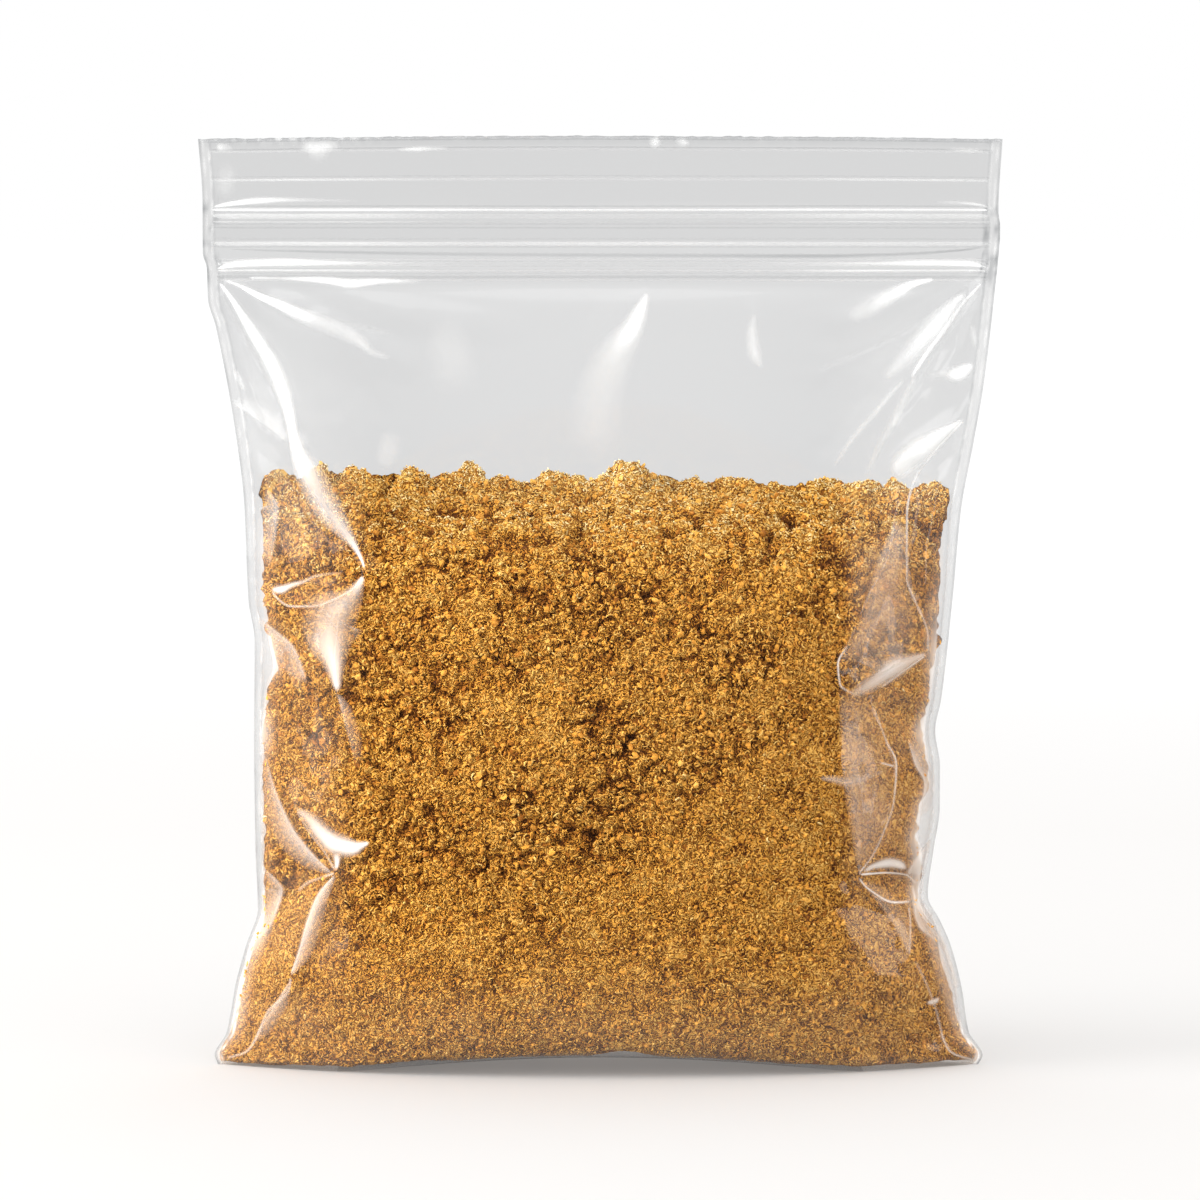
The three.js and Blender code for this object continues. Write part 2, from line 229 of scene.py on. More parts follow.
# Highlights are painted into the film, with a few darker lines: each is a ribbon of white haze, laid where
# a fold or a smooth patch of the film would catch the light. Each is its side and then its points, each (x,
# height, half the width, haze from 0 to 1, or less than 0 where it is only darker). With side 0 it is
# brightest along its middle. With 1 or -1 it has a crisp edge along its points and fades away to the right
# or the left.
FRONT_PAINTED_HIGHLIGHTS = (
    # blobs and streaks on the lip
    (0, (-85.3, 204.6, 0.3, 0.3), (-84.2, 204.5, 1.1, 0.5), (-82.6, 204.3, 0.9, 0.25),
     (-81, 204, 0.3, 0.1)),
    (0, (-66.6, 204.1, 0.5, 0.1), (-63.8, 204.2, 1.5, 0.5), (-61, 204.3, 1.5, 0.5),
     (-57.4, 204.4, 0.5, 0.1)),
    (0, (-62.6, 205, 0.8, 0.15), (-62.4, 203.4, 2.2, 0.35), (-62.2, 200.6, 1.6, 0.1)),
    (0, (-45, 203.5, 0.3, 0.2), (-41, 203.6, 0.6, 0.6), (-37, 203.7, 0.5, 0.4), (-33, 203.7, 0.3, 0.1)),
    (0, (12.6, 206.4, 0.4, 0.4), (12.2, 205.2, 1.4, 0.55), (11.9, 203.2, 0.7, 0.2)),
    (0, (18.7, 206.3, 0.4, 0.4), (18.4, 205.2, 1.6, 0.5), (18.1, 203.4, 0.8, 0.15)),
    (0, (77, 203.8, 0.3, 0.1), (81, 203.7, 0.6, 0.4), (85, 203.6, 0.4, 0.3)),
    # a wedge above the closure, and the pale band over it
    (0, (-86, 191.3, 0.2, 0.5), (-82, 192, 0.6, 0.8), (-76, 192.7, 0.8, 0.75), (-70, 192.9, 0.6, 0.5),
     (-62, 192.8, 0.4, 0.2), (-54, 192.6, 0.3, 0.05)),
    (0, (-82.4, 201.4, 1.4, 0.06), (-82.8, 197, 2.2, 0.17), (-83.3, 193, 1.6, 0.1)),
    (0, (87, 190.9, 0.2, 0.3), (84, 191.8, 0.4, 0.5), (79, 192.3, 0.4, 0.25), (74, 192.4, 0.3, 0.05)),
    # the dark wedge between the tracks, and the bright ends of the lower one
    (0, (-82, 182, 0.2, -0.1), (-60, 181.4, 0.35, -0.3), (-20, 180.8, 0.5, -0.22), (20, 180.6, 0.5, -0.26),
     (48, 180.5, 0.5, -0.4), (66, 180.9, 0.4, -0.3), (80, 181.8, 0.3, -0.4), (85, 182.5, 0.2, -0.1)),
    (0, (-85, 177.7, 0.2, 0.8), (-80, 178.8, 0.9, 0.95), (-70, 179.1, 1, 0.9), (-58, 179, 0.6, 0.6),
     (-44, 178.9, 0.3, 0.1)),
    (0, (86, 177.9, 0.2, 0.8), (81, 178.9, 0.8, 0.9), (72, 179, 0.8, 0.85), (62, 178.9, 0.5, 0.5),
     (50, 178.8, 0.3, 0.1)),
    # two streaks down from the closure's left end, and the line under its tracks
    (0, (-84.4, 174.7, 0.3, 0.7), (-82.2, 171.9, 0.6, 0.95), (-78.9, 166.8, 1.1, 1), (-76, 162.2, 1.5, 1),
     (-72.9, 157.1, 1.7, 1), (-70.4, 151.4, 1.7, 1), (-68.6, 145.4, 1.4, 1), (-67.8, 141.3, 1.2, 1),
     (-66.3, 136.7, 2.1, 0.9), (-64.1, 132.3, 3.2, 0.65), (-60.6, 125.8, 3.4, 0.5), (-56.6, 120.6, 2, 0.55),
     (-53.8, 116.8, 0.9, 0.75), (-52.1, 113.5, 0.4, 0.9), (-51.6, 112, 0.35, 0.8)),
    (0, (-83.1, 175.2, 0.3, 0.6), (-80.2, 174.1, 0.5, 0.9), (-76, 171.9, 0.8, 1), (-70.9, 169.7, 1.2, 1),
     (-66.6, 167.7, 1.6, 0.8), (-62.4, 166.2, 2, 0.4), (-56.4, 163.5, 1.9, 0.32), (-52.6, 161.3, 1.3, 0.4),
     (-50.4, 159.4, 0.9, 0.3), (-46.1, 158.1, 0.7, 0.15)),
    (0, (-78, 175.7, 0.35, 0.6), (-70.9, 175.6, 0.4, 0.6), (-64.9, 175.4, 0.7, 0.8),
     (-59.8, 175.1, 1, 0.95), (-55.4, 174.5, 1.2, 0.9), (-48.1, 175, 0.8, 0.7), (-39.9, 175, 0.5, 0.2)),
    # a low facet and a short streak beside them
    (1, (-81.9, 148.2, 0.8, 0.4), (-77.6, 145.3, 4, 0.25), (-73.1, 142.3, 4.2, 0.18), (-69, 139.5, 1, 0.3)),
    (0, (-81.2, 155.9, 0.5, 0.2), (-79.9, 153, 0.8, 0.4), (-78.5, 150.4, 0.5, 0.2)),
    # a ridge, a pale band and a patch below the closure's right end, a fork and two blobs
    (0, (84.7, 174.7, 0.35, 0.8), (80.7, 170.5, 0.5, 0.9), (76, 163.9, 0.7, 0.9), (72.2, 158.9, 0.7, 0.9),
     (70.4, 156.2, 0.6, 0.95), (68.6, 153.4, 0.4, 0.6)),
    (0, (81.1, 172.3, 0.5, 0.4), (79.1, 170.8, 1.2, 0.6), (74.2, 164.8, 2.8, 0.62), (68.4, 158.9, 2.4, 0.5),
     (62.8, 153.4, 0.4, 0.3)),
    (0, (74.2, 175.4, 0.4, 0.6), (69.8, 174.5, 0.9, 0.85), (65.3, 172.3, 1.7, 0.6), (62, 170.3, 2, 0.45),
     (59.3, 168.8, 2.2, 0.35), (55.8, 167.3, 1.6, 0.25), (54.9, 166.8, 0.6, 0.1)),
    (0, (67.4, 153.4, 0.4, 0.3), (64.8, 150.8, 0.6, 0.35), (60, 145.3, 0.7, 0.3), (55.8, 140.8, 0.7, 0.3),
     (51.5, 134.5, 0.6, 0.2)),
    (0, (69.9, 154.3, 0.4, 0.4), (67, 148.8, 0.9, 0.45), (64.7, 144.2, 1.1, 0.4), (61.8, 139.2, 0.9, 0.35),
     (58.6, 132.4, 0.6, 0.2)),
    (0, (72.1, 154.2, 0.7, 0.25), (76.4, 154.4, 1.2, 0.4), (78.7, 154.4, 2, 0.9), (80.9, 155.3, 1.7, 0.9),
     (83, 156.8, 0.4, 0.7)),
    (0, (82, 165.9, 0.5, 0.2), (82.9, 163, 0.8, 0.45), (83.2, 159.9, 0.5, 0.2)),
    # the bright fold at the right, the ridge beside it and the veil below
    (0, (80.3, 144.4, 0.35, 0.8), (77.6, 142.5, 1.1, 0.85), (74.8, 140.5, 2.1, 0.85),
     (68.9, 136.2, 3.2, 0.8), (65.6, 133.6, 2.8, 0.7), (63.5, 133, 1.2, 0.4)),
    (0, (80.8, 144.3, 0.35, 0.8), (76.9, 140.5, 0.4, 0.8), (72.1, 135.1, 0.4, 0.7), (69.4, 130.7, 0.4, 0.6),
     (67.8, 123.5, 0.35, 0.55), (67.8, 116.4, 0.35, 0.5), (67.8, 109.4, 0.35, 0.55),
     (69.6, 104.7, 0.35, 0.5), (72.7, 96.2, 0.35, 0.5), (72.7, 92.7, 0.35, 0.5)),
    (1, (65.8, 123.5, 2, 0.1), (64.2, 120.7, 5, 0.25), (60.5, 112, 9, 0.28), (56.3, 99.2, 14, 0.26),
     (52.1, 91.9, 14, 0.24), (52.5, 86.6, 10, 0.16)),
    # the lens at the right, its lower edge, and the outline of its left side
    (0, (54.6, 84.2, 0.6, 0.3), (57.5, 85.6, 1.6, 0.55), (61.7, 88, 2.2, 0.75), (65.1, 90.1, 2.7, 0.8),
     (69, 91.6, 1.6, 0.65), (72.5, 92.7, 0.35, 0.6)),
    (0, (72.3, 92.4, 0.35, 0.7), (66.9, 89.1, 0.45, 0.6), (61.7, 85.6, 0.35, 0.5)),
    (0, (54.5, 95.6, 0.35, 0.4), (52.2, 91.3, 0.35, 0.7), (52.7, 86.8, 0.35, 0.6), (57.2, 84, 0.35, 0.3)),
    # the veil below the lens, a star, and the crease down to the bright patch
    (1, (52.3, 86.9, 5, 0.2), (52.7, 76.7, 11, 0.2), (53.2, 67.5, 12, 0.26), (54.8, 56.8, 11, 0.26),
     (56.9, 44.7, 3, 0.25)),
    (0, (48, 66.4, 0.4, 0.35), (50.9, 66.1, 0.9, 0.45), (55, 65.4, 1.4, 0.4), (59.5, 66.3, 0.8, 0.3),
     (62.7, 67.4, 0.4, 0.2)),
    (0, (59.9, 82.1, 0.35, 0.35), (61.3, 78.5, 0.35, 0.4), (63.1, 74, 0.35, 0.5), (65.4, 68.5, 0.4, 0.65),
     (65.2, 64.1, 0.4, 0.6), (64.7, 59.7, 0.35, 0.5), (63.2, 55.4, 0.35, 0.5), (60, 48.5, 0.35, 0.5),
     (56.9, 44.7, 0.35, 0.6)),
    (0, (61.3, 69.3, 0.35, 0.5), (65.4, 68.1, 0.4, 0.7)),
    # the bright patch at the right, the lines that leave it, and the veil below
    (0, (57.8, 45.1, 0.5, 0.6), (60.5, 46.2, 1, 0.8), (63.7, 46.6, 1.5, 0.95), (66.5, 45.9, 1.3, 0.95),
     (68.2, 44.5, 0.5, 0.7)),
    (0, (56.9, 44.7, 0.4, 0.8), (61.9, 44.5, 0.35, 0.8), (67.9, 43.4, 0.4, 0.7), (70.7, 40.6, 0.35, 0.5)),
    (0, (56.9, 44.2, 0.4, 0.8), (58.2, 42.3, 0.35, 0.7), (60.1, 40.6, 0.35, 0.7), (64.7, 37.9, 0.4, 0.8),
     (69.4, 37.3, 0.4, 0.6)),
    (0, (68.5, 36.8, 0.4, 0.6), (68.8, 33.4, 0.35, 0.5), (68.7, 29.8, 0.35, 0.5), (68.5, 26, 0.35, 0.4)),
    (1, (57.3, 43.3, 1, 0.2), (61.9, 37.3, 4, 0.25), (66.4, 30.5, 4, 0.25), (68.5, 26, 1, 0.2)),
    # facets, creases and a glint down the right edge to the foot
    (1, (68.2, 74.1, 0.5, 0.3), (69.4, 68.4, 4, 0.5), (71.9, 63.4, 3, 0.5), (71.3, 59, 3, 0.4),
     (71, 56, 1, 0.2)),
    (1, (74.1, 50.8, 0.5, 0.3), (70.5, 47.5, 3.5, 0.5), (67.9, 43.3, 5, 0.5), (70, 41.2, 3, 0.4)),
    (1, (69.6, 38.6, 1, 0.3), (69.6, 35, 4, 0.5), (70.6, 31.6, 5, 0.5), (73.8, 28.9, 3, 0.4),
     (77.4, 25.8, 0.5, 0.2)),
    (0, (69.4, 41.1, 0.4, 0.6), (70.6, 36.2, 0.45, 0.7), (72.9, 32.4, 0.45, 0.6), (77.1, 25.8, 0.5, 0.5),
     (80, 16.8, 0.6, 0.5)),
    (0, (72.4, 31.9, 1, 0.3), (75.3, 26.1, 2.2, 0.4), (77.6, 17.1, 2, 0.35), (80.1, 7.7, 1, 0.3)),
    (0, (72.2, 14.9, 0.4, 0.6), (74.3, 15.1, 0.9, 0.8), (75.9, 16, 0.4, 0.6)),
    (0, (69.8, 24.8, 0.4, 0.3), (72.6, 19, 0.35, 0.4), (74.8, 13, 0.4, 0.4), (76.7, 6, 0.4, 0.5),
     (78.1, 3.5, 0.4, 0.6), (84.8, 0.5, 0.4, 0.6)),
    # the flame, the leaf and two soft patches in the clear film
    (0, (10.6, 172.6, 0.4, 0.3), (9.1, 169, 1.6, 0.75), (7.1, 164.7, 2.6, 0.7), (3.8, 159.9, 3.8, 0.42),
     (0.4, 152.2, 5, 0.24), (-1.1, 144.6, 5.5, 0.17), (-1.8, 135.5, 5.5, 0.1)),
    (0, (34.1, 167.9, 0.4, 0.2), (33.6, 163.3, 1.3, 0.4), (34.2, 159, 1.6, 0.42), (35.7, 155.9, 0.4, 0.2)),
    (0, (-45.8, 142.8, 2, 0.1), (-46.6, 138, 2.5, 0.2), (-47.5, 133.6, 1.5, 0.15)),
    (0, (-35.2, 167.3, 3, 0.08), (-33.1, 159.8, 5, 0.12), (-30.8, 148.9, 5, 0.06)),
    # the triangle at the left, the band under it, the pocket beside it and the pale film there
    (0, (-51.7, 110.7, 0.35, 0.9), (-54.8, 105.5, 2.8, 0.5), (-59, 100.8, 6.4, 0.5),
     (-59.6, 96.5, 5.6, 0.62), (-58.6, 91.5, 2.8, 0.75), (-57.6, 84.9, 0.6, 0.8)),
    (1, (-57.6, 84.9, 0.5, 0.4), (-56.7, 80.6, 2.6, 0.3), (-55.2, 74.9, 3, 0.2), (-53.6, 68.8, 2, 0.1)),
    (0, (-73.1, 106.7, 0.4, 0.8), (-70.8, 106.8, 1.1, 0.85), (-68.5, 107.8, 0.8, 0.7),
     (-65.5, 108.8, 0.6, 0.5), (-62.6, 110.2, 0.4, 0.4), (-57.2, 111, 0.4, 0.25)),
    (0, (-72.9, 106.7, 0.4, 0.7), (-71.5, 105, 0.35, 0.5), (-68.3, 103.4, 0.4, 0.45),
     (-63.2, 103.6, 0.4, 0.45), (-58.5, 105.3, 0.4, 0.5), (-54, 108, 0.4, 0.5), (-51.8, 110.9, 0.4, 0.7)),
    (-1, (-76.3, 100.4, 0.5, 0.3), (-71.3, 97.4, 3.5, 0.4), (-67.8, 94.8, 4.5, 0.4),
     (-65.6, 90.5, 4.5, 0.35), (-64.6, 86.3, 1.5, 0.45)),
    (-1, (-74, 129.2, 1, 0.2), (-71, 125.3, 5, 0.3), (-71.4, 120.2, 4.5, 0.25), (-73.3, 111.7, 1, 0.15)),
    # the white patch at the left, its tail, and the veil and creases beside it
    (0, (-67, 59, 0.5, 0.45), (-64.3, 57, 1.7, 0.6), (-61.3, 53.8, 2.4, 0.85), (-57.9, 51.4, 2.8, 1),
     (-54.5, 50.9, 2.2, 1), (-52.4, 51.5, 1.1, 0.9), (-50.4, 52.3, 0.3, 0.8)),
    (0, (-58.4, 50.5, 1.5, 1), (-57.9, 47.6, 0.8, 0.95), (-58.2, 45.4, 0.4, 0.8)),
    (-1, (-74.5, 70, 0.5, 0.2), (-72.4, 64, 3, 0.35), (-70.3, 59.6, 4.5, 0.42), (-67.1, 54, 6, 0.45),
     (-62.8, 48.8, 4.5, 0.45), (-59, 44.8, 0.5, 0.4)),
    (0, (-67, 58.7, 0.4, 0.3), (-64.3, 54.1, 0.35, 0.35), (-60.6, 49.5, 0.35, 0.4),
     (-58.2, 45.4, 0.4, 0.6)),
    (0, (-58.2, 45.2, 0.4, 0.7), (-61.8, 43.6, 0.35, 0.4), (-65, 42, 0.5, 0.45), (-67.1, 39.8, 0.4, 0.4)),
    # pale bands and a crease down the left edge to the foot
    (1, (-58.2, 44.7, 0.5, 0.5), (-62.3, 40.2, 3, 0.5), (-65, 34, 4, 0.5), (-66.6, 28, 3.5, 0.45),
     (-68.4, 21.7, 0.5, 0.5)),
    (-1, (-75.2, 44.4, 1, 0.3), (-72, 42.5, 3, 0.4), (-70.1, 40.1, 5, 0.45), (-71.1, 36.4, 4.5, 0.45),
     (-73.5, 31.2, 3, 0.35), (-76.6, 28.3, 0.5, 0.3)),
    (0, (-68.4, 21.7, 0.4, 0.6), (-68.7, 19, 0.35, 0.5), (-73.8, 13, 0.4, 0.5), (-76.9, 6.1, 0.4, 0.5),
     (-78.8, 3.5, 0.4, 0.5), (-83.7, 1.4, 0.4, 0.5)),
    (1, (-68.4, 20.6, 0.5, 0.4), (-72.2, 15, 3, 0.42), (-74.8, 10.8, 3, 0.35), (-77.2, 5.8, 0.6, 0.3)),
)
FOLD_FADE = 0.7  # share of its height that a fold loses towards its end
CREST_RADIUS = 0.35  # how round the sharpest line of a crisp fold is


def along_line(x, z, ends):
    """Share of the way along a straight leg, and the distance from it, for each spot."""
    (x0, z0), (x1, z1) = ends
    leg = math.dist(*ends)
    t = np.clip(((x - x0) * (x1 - x0) + (z - z0) * (z1 - z0)) / leg**2, 0, 1)
    return t, np.hypot(x - x0 - t * (x1 - x0), z - z0 - t * (z1 - z0))


def fold_rise(fold, x, z):
    """Height that one fold gives the sheet at (x, z)."""
    line, width, rise, crisp = fold
    steps = list(zip(line, line[1:]))
    legs = [math.dist(*ends) for ends in steps]
    whole, passed = sum(legs), 0.0
    height = np.zeros_like(x)
    for ends, leg in zip(steps, legs):
        t, off = along_line(x, z, ends)
        off = off / width
        crest = CREST_RADIUS / width
        facets = np.maximum(0, 1 - np.hypot(off, crest) + crest * 0.5)
        swell = (1 - np.minimum(1, off) ** 2) ** 2
        fade = 1 - FOLD_FADE * ((passed + t * leg) / whole) ** 2
        height = np.maximum(height, (facets if crisp else swell) * fade)
        passed += leg
    return rise * height


def weld_width(z):
    """The side weld lies flat along the lip and is rolled up narrower lower down."""
    return blend(ROLLED_WELD, WELD_WIDTH, smoothstep(z, 70, 150))


def pillow(x, z, edge):
    """How far the swell of the bag carries a sheet from the middle plane."""
    body = blend(BELLY_CURVE, SHOULDER_CURVE, smoothstep(z, 95, 170))
    curve = blend(FOOT_CURVE, body, smoothstep(z, 0, 22))
    reach = np.minimum(1, np.abs(x) / (edge - weld_width(z)))
    return BELLY_DEPTH / 2 * depth_share(z) * (1 - reach**MIDDLE_FLATNESS) ** curve


def lip_sway(x, z):
    phase = 2 * math.pi * LIP_WAVES * x / MOUTH_WIDTH
    return LIP_WAVE * smoothstep(z, 188, HEIGHT) * np.sin(phase + 0.6)


def arch(x, z):
    """The bag stands on its two ends, and the bottom arches up between them."""
    span = np.maximum(0, 1 - (x / ARCH_REACH) ** 2)
    return ARCH_RISE * span**1.2 * (1 - smoothstep(z, 3, ARCH_DEPTH))


def crown(u, z):
    return LIP_CROWN * (1 - u * u) * smoothstep(z, 190, HEIGHT)


film_wrinkle = Lumps(11)
weld_lump = Lumps(12)
cut_edge = Lumps(13)
soft_wave = Lumps(14)


def looseness(x, z, edge):
    """Folds die out towards the side welds and the bottom."""
    from_edge = edge - np.abs(x)
    return np.clip((from_edge - weld_width(z)) / 4.0, 0, 1) * smoothstep(z, 1, 9)


def folds_at(x, z, edge, folds):
    """All the folds of a sheet at (x, z), and the slack film's ripples between them."""
    total = sum(fold_rise(fold, x, z) for fold in folds)
    slack = smoothstep(np.abs(x), 30, 70) * smoothstep(z, 176, 168)
    ripple = 0.28 * film_wrinkle(x + 0.5 * z, z * 0.45, 6.0) + 0.14 * film_wrinkle(x, z, 2.6)
    return looseness(x, z, edge) * (total + slack * ripple)


TRACKS_BULGE = 0.75  # how far the closure's tracks hold the two sheets apart


def sheet_off(x, z, edge, folds):
    """How far one sheet of film lies from the middle plane."""
    from_edge = edge - np.abs(x)
    swell = np.maximum(0, pillow(x, z, edge) + folds_at(x, z, edge, folds))
    bead = 0.16 * band(from_edge - 0.45, 0.4)
    seam = 0.14 * band(from_edge - weld_width(z), 0.35)
    crushed = smoothstep(z, 173, 179) * smoothstep(z, 194, 190)
    lumps = 0.4 * crushed * np.maximum(0, weld_lump(x, z, 1.6)) * (from_edge < WELD_WIDTH + 1)
    tracks = TRACKS_BULGE * smoothstep(z, 173.5, 176.5) * smoothstep(z, 193, 190.2)
    tracks = tracks * smoothstep(from_edge, WELD_WIDTH - 0.6, 5) * (1 + 0.1 * np.cos(z * 2.2))
    lip = 0.5 * smoothstep(z, 192, 197) * (0.5 + 0.5 * soft_wave(x, z, 15))
    lip = lip * smoothstep(from_edge, 2, 8)
    return FILM_GAP + swell + bead + seam + lumps + tracks + lip


# ---- mesh helpers ----
MERGE_DISTANCE = 1e-7  # metres


def shown(mesh, material):
    """A mesh as an object of the scene, in one material."""
    mesh.materials.append(material)
    piece = bpy.data.objects.new(mesh.name, mesh)
    bpy.context.scene.collection.objects.link(piece)
    return piece


def object_from(bm, name, material):
    mesh = bpy.data.meshes.new(name)
    bm.to_mesh(mesh)
    bm.free()
    mesh.shade_smooth()
    return shown(mesh, material)


def shells_from(bm, name, material):
    """An object of shells that are rolled or folded shut: the points where they meet are merged, and
    their faces turned outwards."""
    bmesh.ops.remove_doubles(bm, verts=bm.verts, dist=MERGE_DISTANCE)
    bmesh.ops.recalc_face_normals(bm, faces=bm.faces)
    return object_from(bm, name, material)


def grid(bm, columns, rows):
    """Adds a flat grid and gives its points."""
    return bmesh.ops.create_grid(bm, x_segments=columns, y_segments=rows, size=1)["verts"]


def flat_places(points):
    """Where the points of a flat grid lie, across and up it, from -1 to 1."""
    return np.array([vert.co[:2] for vert in points]).T


def put(points, layers, spots, *values):
    """Moves points to their spots, in millimetres, and writes a value for each into each layer."""
    for vert, spot, *own in zip(points, spots * MM, *values):
        vert.co = spot
        for layer, value in zip(layers, own):
            vert[layer] = value


def sheets_closed_round(name, columns, rows, place, marks, material):
    """Two grids, the front one columns x rows and the back one half as fine, joined round their
    borders into a closed skin. place(u, v, face) gives the positions for shares u across (-1 to 1)
    and v up (0 to 1), and marks are attributes that a function of the same kind gives."""
    bm = bmesh.new()
    layers = [bm.verts.layers.float.new(key) for key in marks]
    for face, cells in ((1, 2), (-1, 1)):
        sheet = grid(bm, columns // cells, rows // cells)
        if face > 0:
            rim = [edge for edge in bm.edges if edge.is_boundary]
            bmesh.ops.subdivide_edges(bm, edges=rim, cuts=1)
            sheet = list(bm.verts)
        u, v = flat_places(sheet)
        v = v / 2 + 0.5
        put(sheet, layers, place(u, v, face), *[mark(u, v, face) for mark in marks.values()])
    bmesh.ops.bridge_loops(bm, edges=[edge for edge in bm.edges if edge.is_boundary])
    bmesh.ops.recalc_face_normals(bm, faces=bm.faces)
    return object_from(bm, name, material)


def crowded(u, share):
    """Shares across that lie closer together towards the sides."""
    return blend(u, np.sin(u * math.pi / 2), share)


# ---- film ----
FILM_COLUMNS, FILM_ROWS = 300, 252
# The rows lie closer together at the foot and across the closure: shares of them, and their heights.
ROW_SHARES, ROW_HEIGHTS = (0, 0.03, 0.09, 0.88, 1.0), (0, 3.2, 11, 173, HEIGHT)
# (height, how far the cumin stays inside the bag's edge)
LEFT_MARGIN = (
    (0, 0.6), (12, 0.8), (34, 1.1), (50, 1.6), (62, 1.7), (75, 2.0), (84, 2.6), (90, 4.6), (97, 3.4),
    (104, 3.3), (126, 4.2), (150, 4.4),
)
RIGHT_MARGIN = (
    (0, 0.6), (5, 1.0), (15, 2.4), (30, 2.6), (40, 2.1), (47, 2.6), (53, 4.8), (58, 4.6), (64, 2.8),
    (75, 2.6), (95, 2.8), (104, 3.2), (126, 3.4), (150, 3.6),
)
left_margin, right_margin = through(LEFT_MARGIN), through(RIGHT_MARGIN)


def margin_at(x, z):
    return np.where(x < 0, left_margin(z), right_margin(z))


def film_spot(u, v):
    """Where a spot of film lies across the bag and up it, and the bag's edge there."""
    u = crowded(u, 0.78)
    z = np.interp(v, ROW_SHARES, ROW_HEIGHTS)
    edge = edge_at(u, z)
    return u, u * edge, z, edge


def film_place(u, v, face):
    u, x, z, edge = film_spot(u, v)
    off = sheet_off(x, z, edge, FRONT_FOLDS if face < 0 else BACK_FOLDS)
    y = lip_sway(x, z) + face * off
    top = smoothstep(z, HEIGHT - 1.4, HEIGHT)
    rag = top * (0.1 * cut_edge(x, 3, 1.3) + 0.08 * cut_edge(x, 9, 0.6))
    up = z + crown(u, z) + arch(x, z) + rag - 0.2 * top
    return np.stack([x, y + top * 0.25 * cut_edge(x, 0, 1.1), up], -1)


def below_cumin_top(z):
    """Up to the height of the cumin, from 1 below it to 0 above it. There cumin dust clings to the film,
    and the warm light that the cumin gives its veils is painted in.
    """
    return smoothstep(z, 124, 110)


def inside_cumin(u, z, from_edge):
    """How far a spot of film lies inside the side of the cumin behind it."""
    return from_edge - margin_at(u, z)


def film_haze_and_painted_veil(u, v, face):
    """Haze of the film along its welds and cut edge, where it draws away from the cumin's sides, and a
    faint painted veil of reflected light towards its sides and foot."""
    u, x, z, edge = film_spot(u, v)
    from_edge = edge - np.abs(x)
    inside = inside_cumin(u, z, from_edge)
    # A painted veil: the film is made faintly hazy towards its sides and foot, where it would mirror light.
    painted_veil = 0.09 * smoothstep(np.abs(x), 48, 66) * smoothstep(z, 176, 150)
    painted_veil = painted_veil + 0.07 * smoothstep(z, 42, 6)
    sides = 0.13 * smoothstep(x, 53, 57) + 0.08 * smoothstep(x, -54, -60)
    painted_veil = painted_veil + sides * smoothstep(z, 122, 112) * smoothstep(z, 12, 40)
    drawn = 0.6 * np.clip(1 - inside / 6.0, 0, 1) * smoothstep(inside, -0.8, 0.3)
    painted_veil = np.maximum(painted_veil, drawn * below_cumin_top(z))
    inner = band(from_edge - weld_width(z), 0.3) * (0.2 + 0.25 * weld_lump(x, z, 1.2))
    rim = band(from_edge - 0.9, 0.3) * (0.12 + 0.25 * weld_lump(x, z, 2.2))
    cut = smoothstep(z, HEIGHT - 1.3, HEIGHT - 0.7) * np.maximum(0, cut_edge(x, z * 1.5, 0.8))
    cut = cut * (0.2 + 0.4 * smoothstep(x, -45, -55) * smoothstep(x, -86, -82))
    haze_and_highlight = painted_veil * (1 + 0.5 * film_wrinkle(x, z, 9))
    return np.clip(haze_and_highlight + np.maximum(0, inner) + np.maximum(0, rim) + cut, 0, 1)


def film_dust_and_warm_light(u, v, face):
    u, x, z, edge = film_spot(u, v)
    return below_cumin_top(z) * smoothstep(inside_cumin(u, z, edge - np.abs(x)), -0.6, 0.8)


def film_density(u, v, face):
    """Where the film looks darker: its melted rims, and the edges of the rolled side weld."""
    u, x, z, edge = film_spot(u, v)
    from_edge = edge - np.abs(x)
    outer = band(from_edge - 0.2, 0.3) * 0.28
    inner = band(from_edge - weld_width(z) - 0.2, 0.25) * 0.2
    foot = smoothstep(z, 1.6, 0.4) * 0.3
    top = smoothstep(z, HEIGHT - 0.5, HEIGHT) * 0.4
    crushed = smoothstep(z, 172, 178) * smoothstep(z, 195, 190) * (from_edge < WELD_WIDTH + 1.5)
    crushed = crushed * np.maximum(0, weld_lump(x, z, 1.1))
    outer = outer * (0.7 + 0.4 * weld_lump(x, z, 2.5))
    above = 0.115 * smoothstep(z, 108, 126) - 0.035 * smoothstep(z, 168, 176)
    above = above * smoothstep(from_edge - weld_width(z), -0.4, 0.4)
    return np.clip(above + outer + inner + foot + top + 0.6 * crushed, 0, 1)


RIBBON_SIDES = 12
RIBBON_STEP = 0.8  # length of a ribbon's cells, and of its pointed ends
RIBBON_INSET = 0.07  # how far it lies inside the sheet
RIBBON_THICKNESS = 0.02  # half of it, along the middle
RIBBON_DUST_AND_WARM_LIGHT = 0.6
SIDED_EDGE = 0.3  # how wide the crisp edge of a one-sided ribbon is
EDGE_SHARE = 0.16  # and its share of the whole width


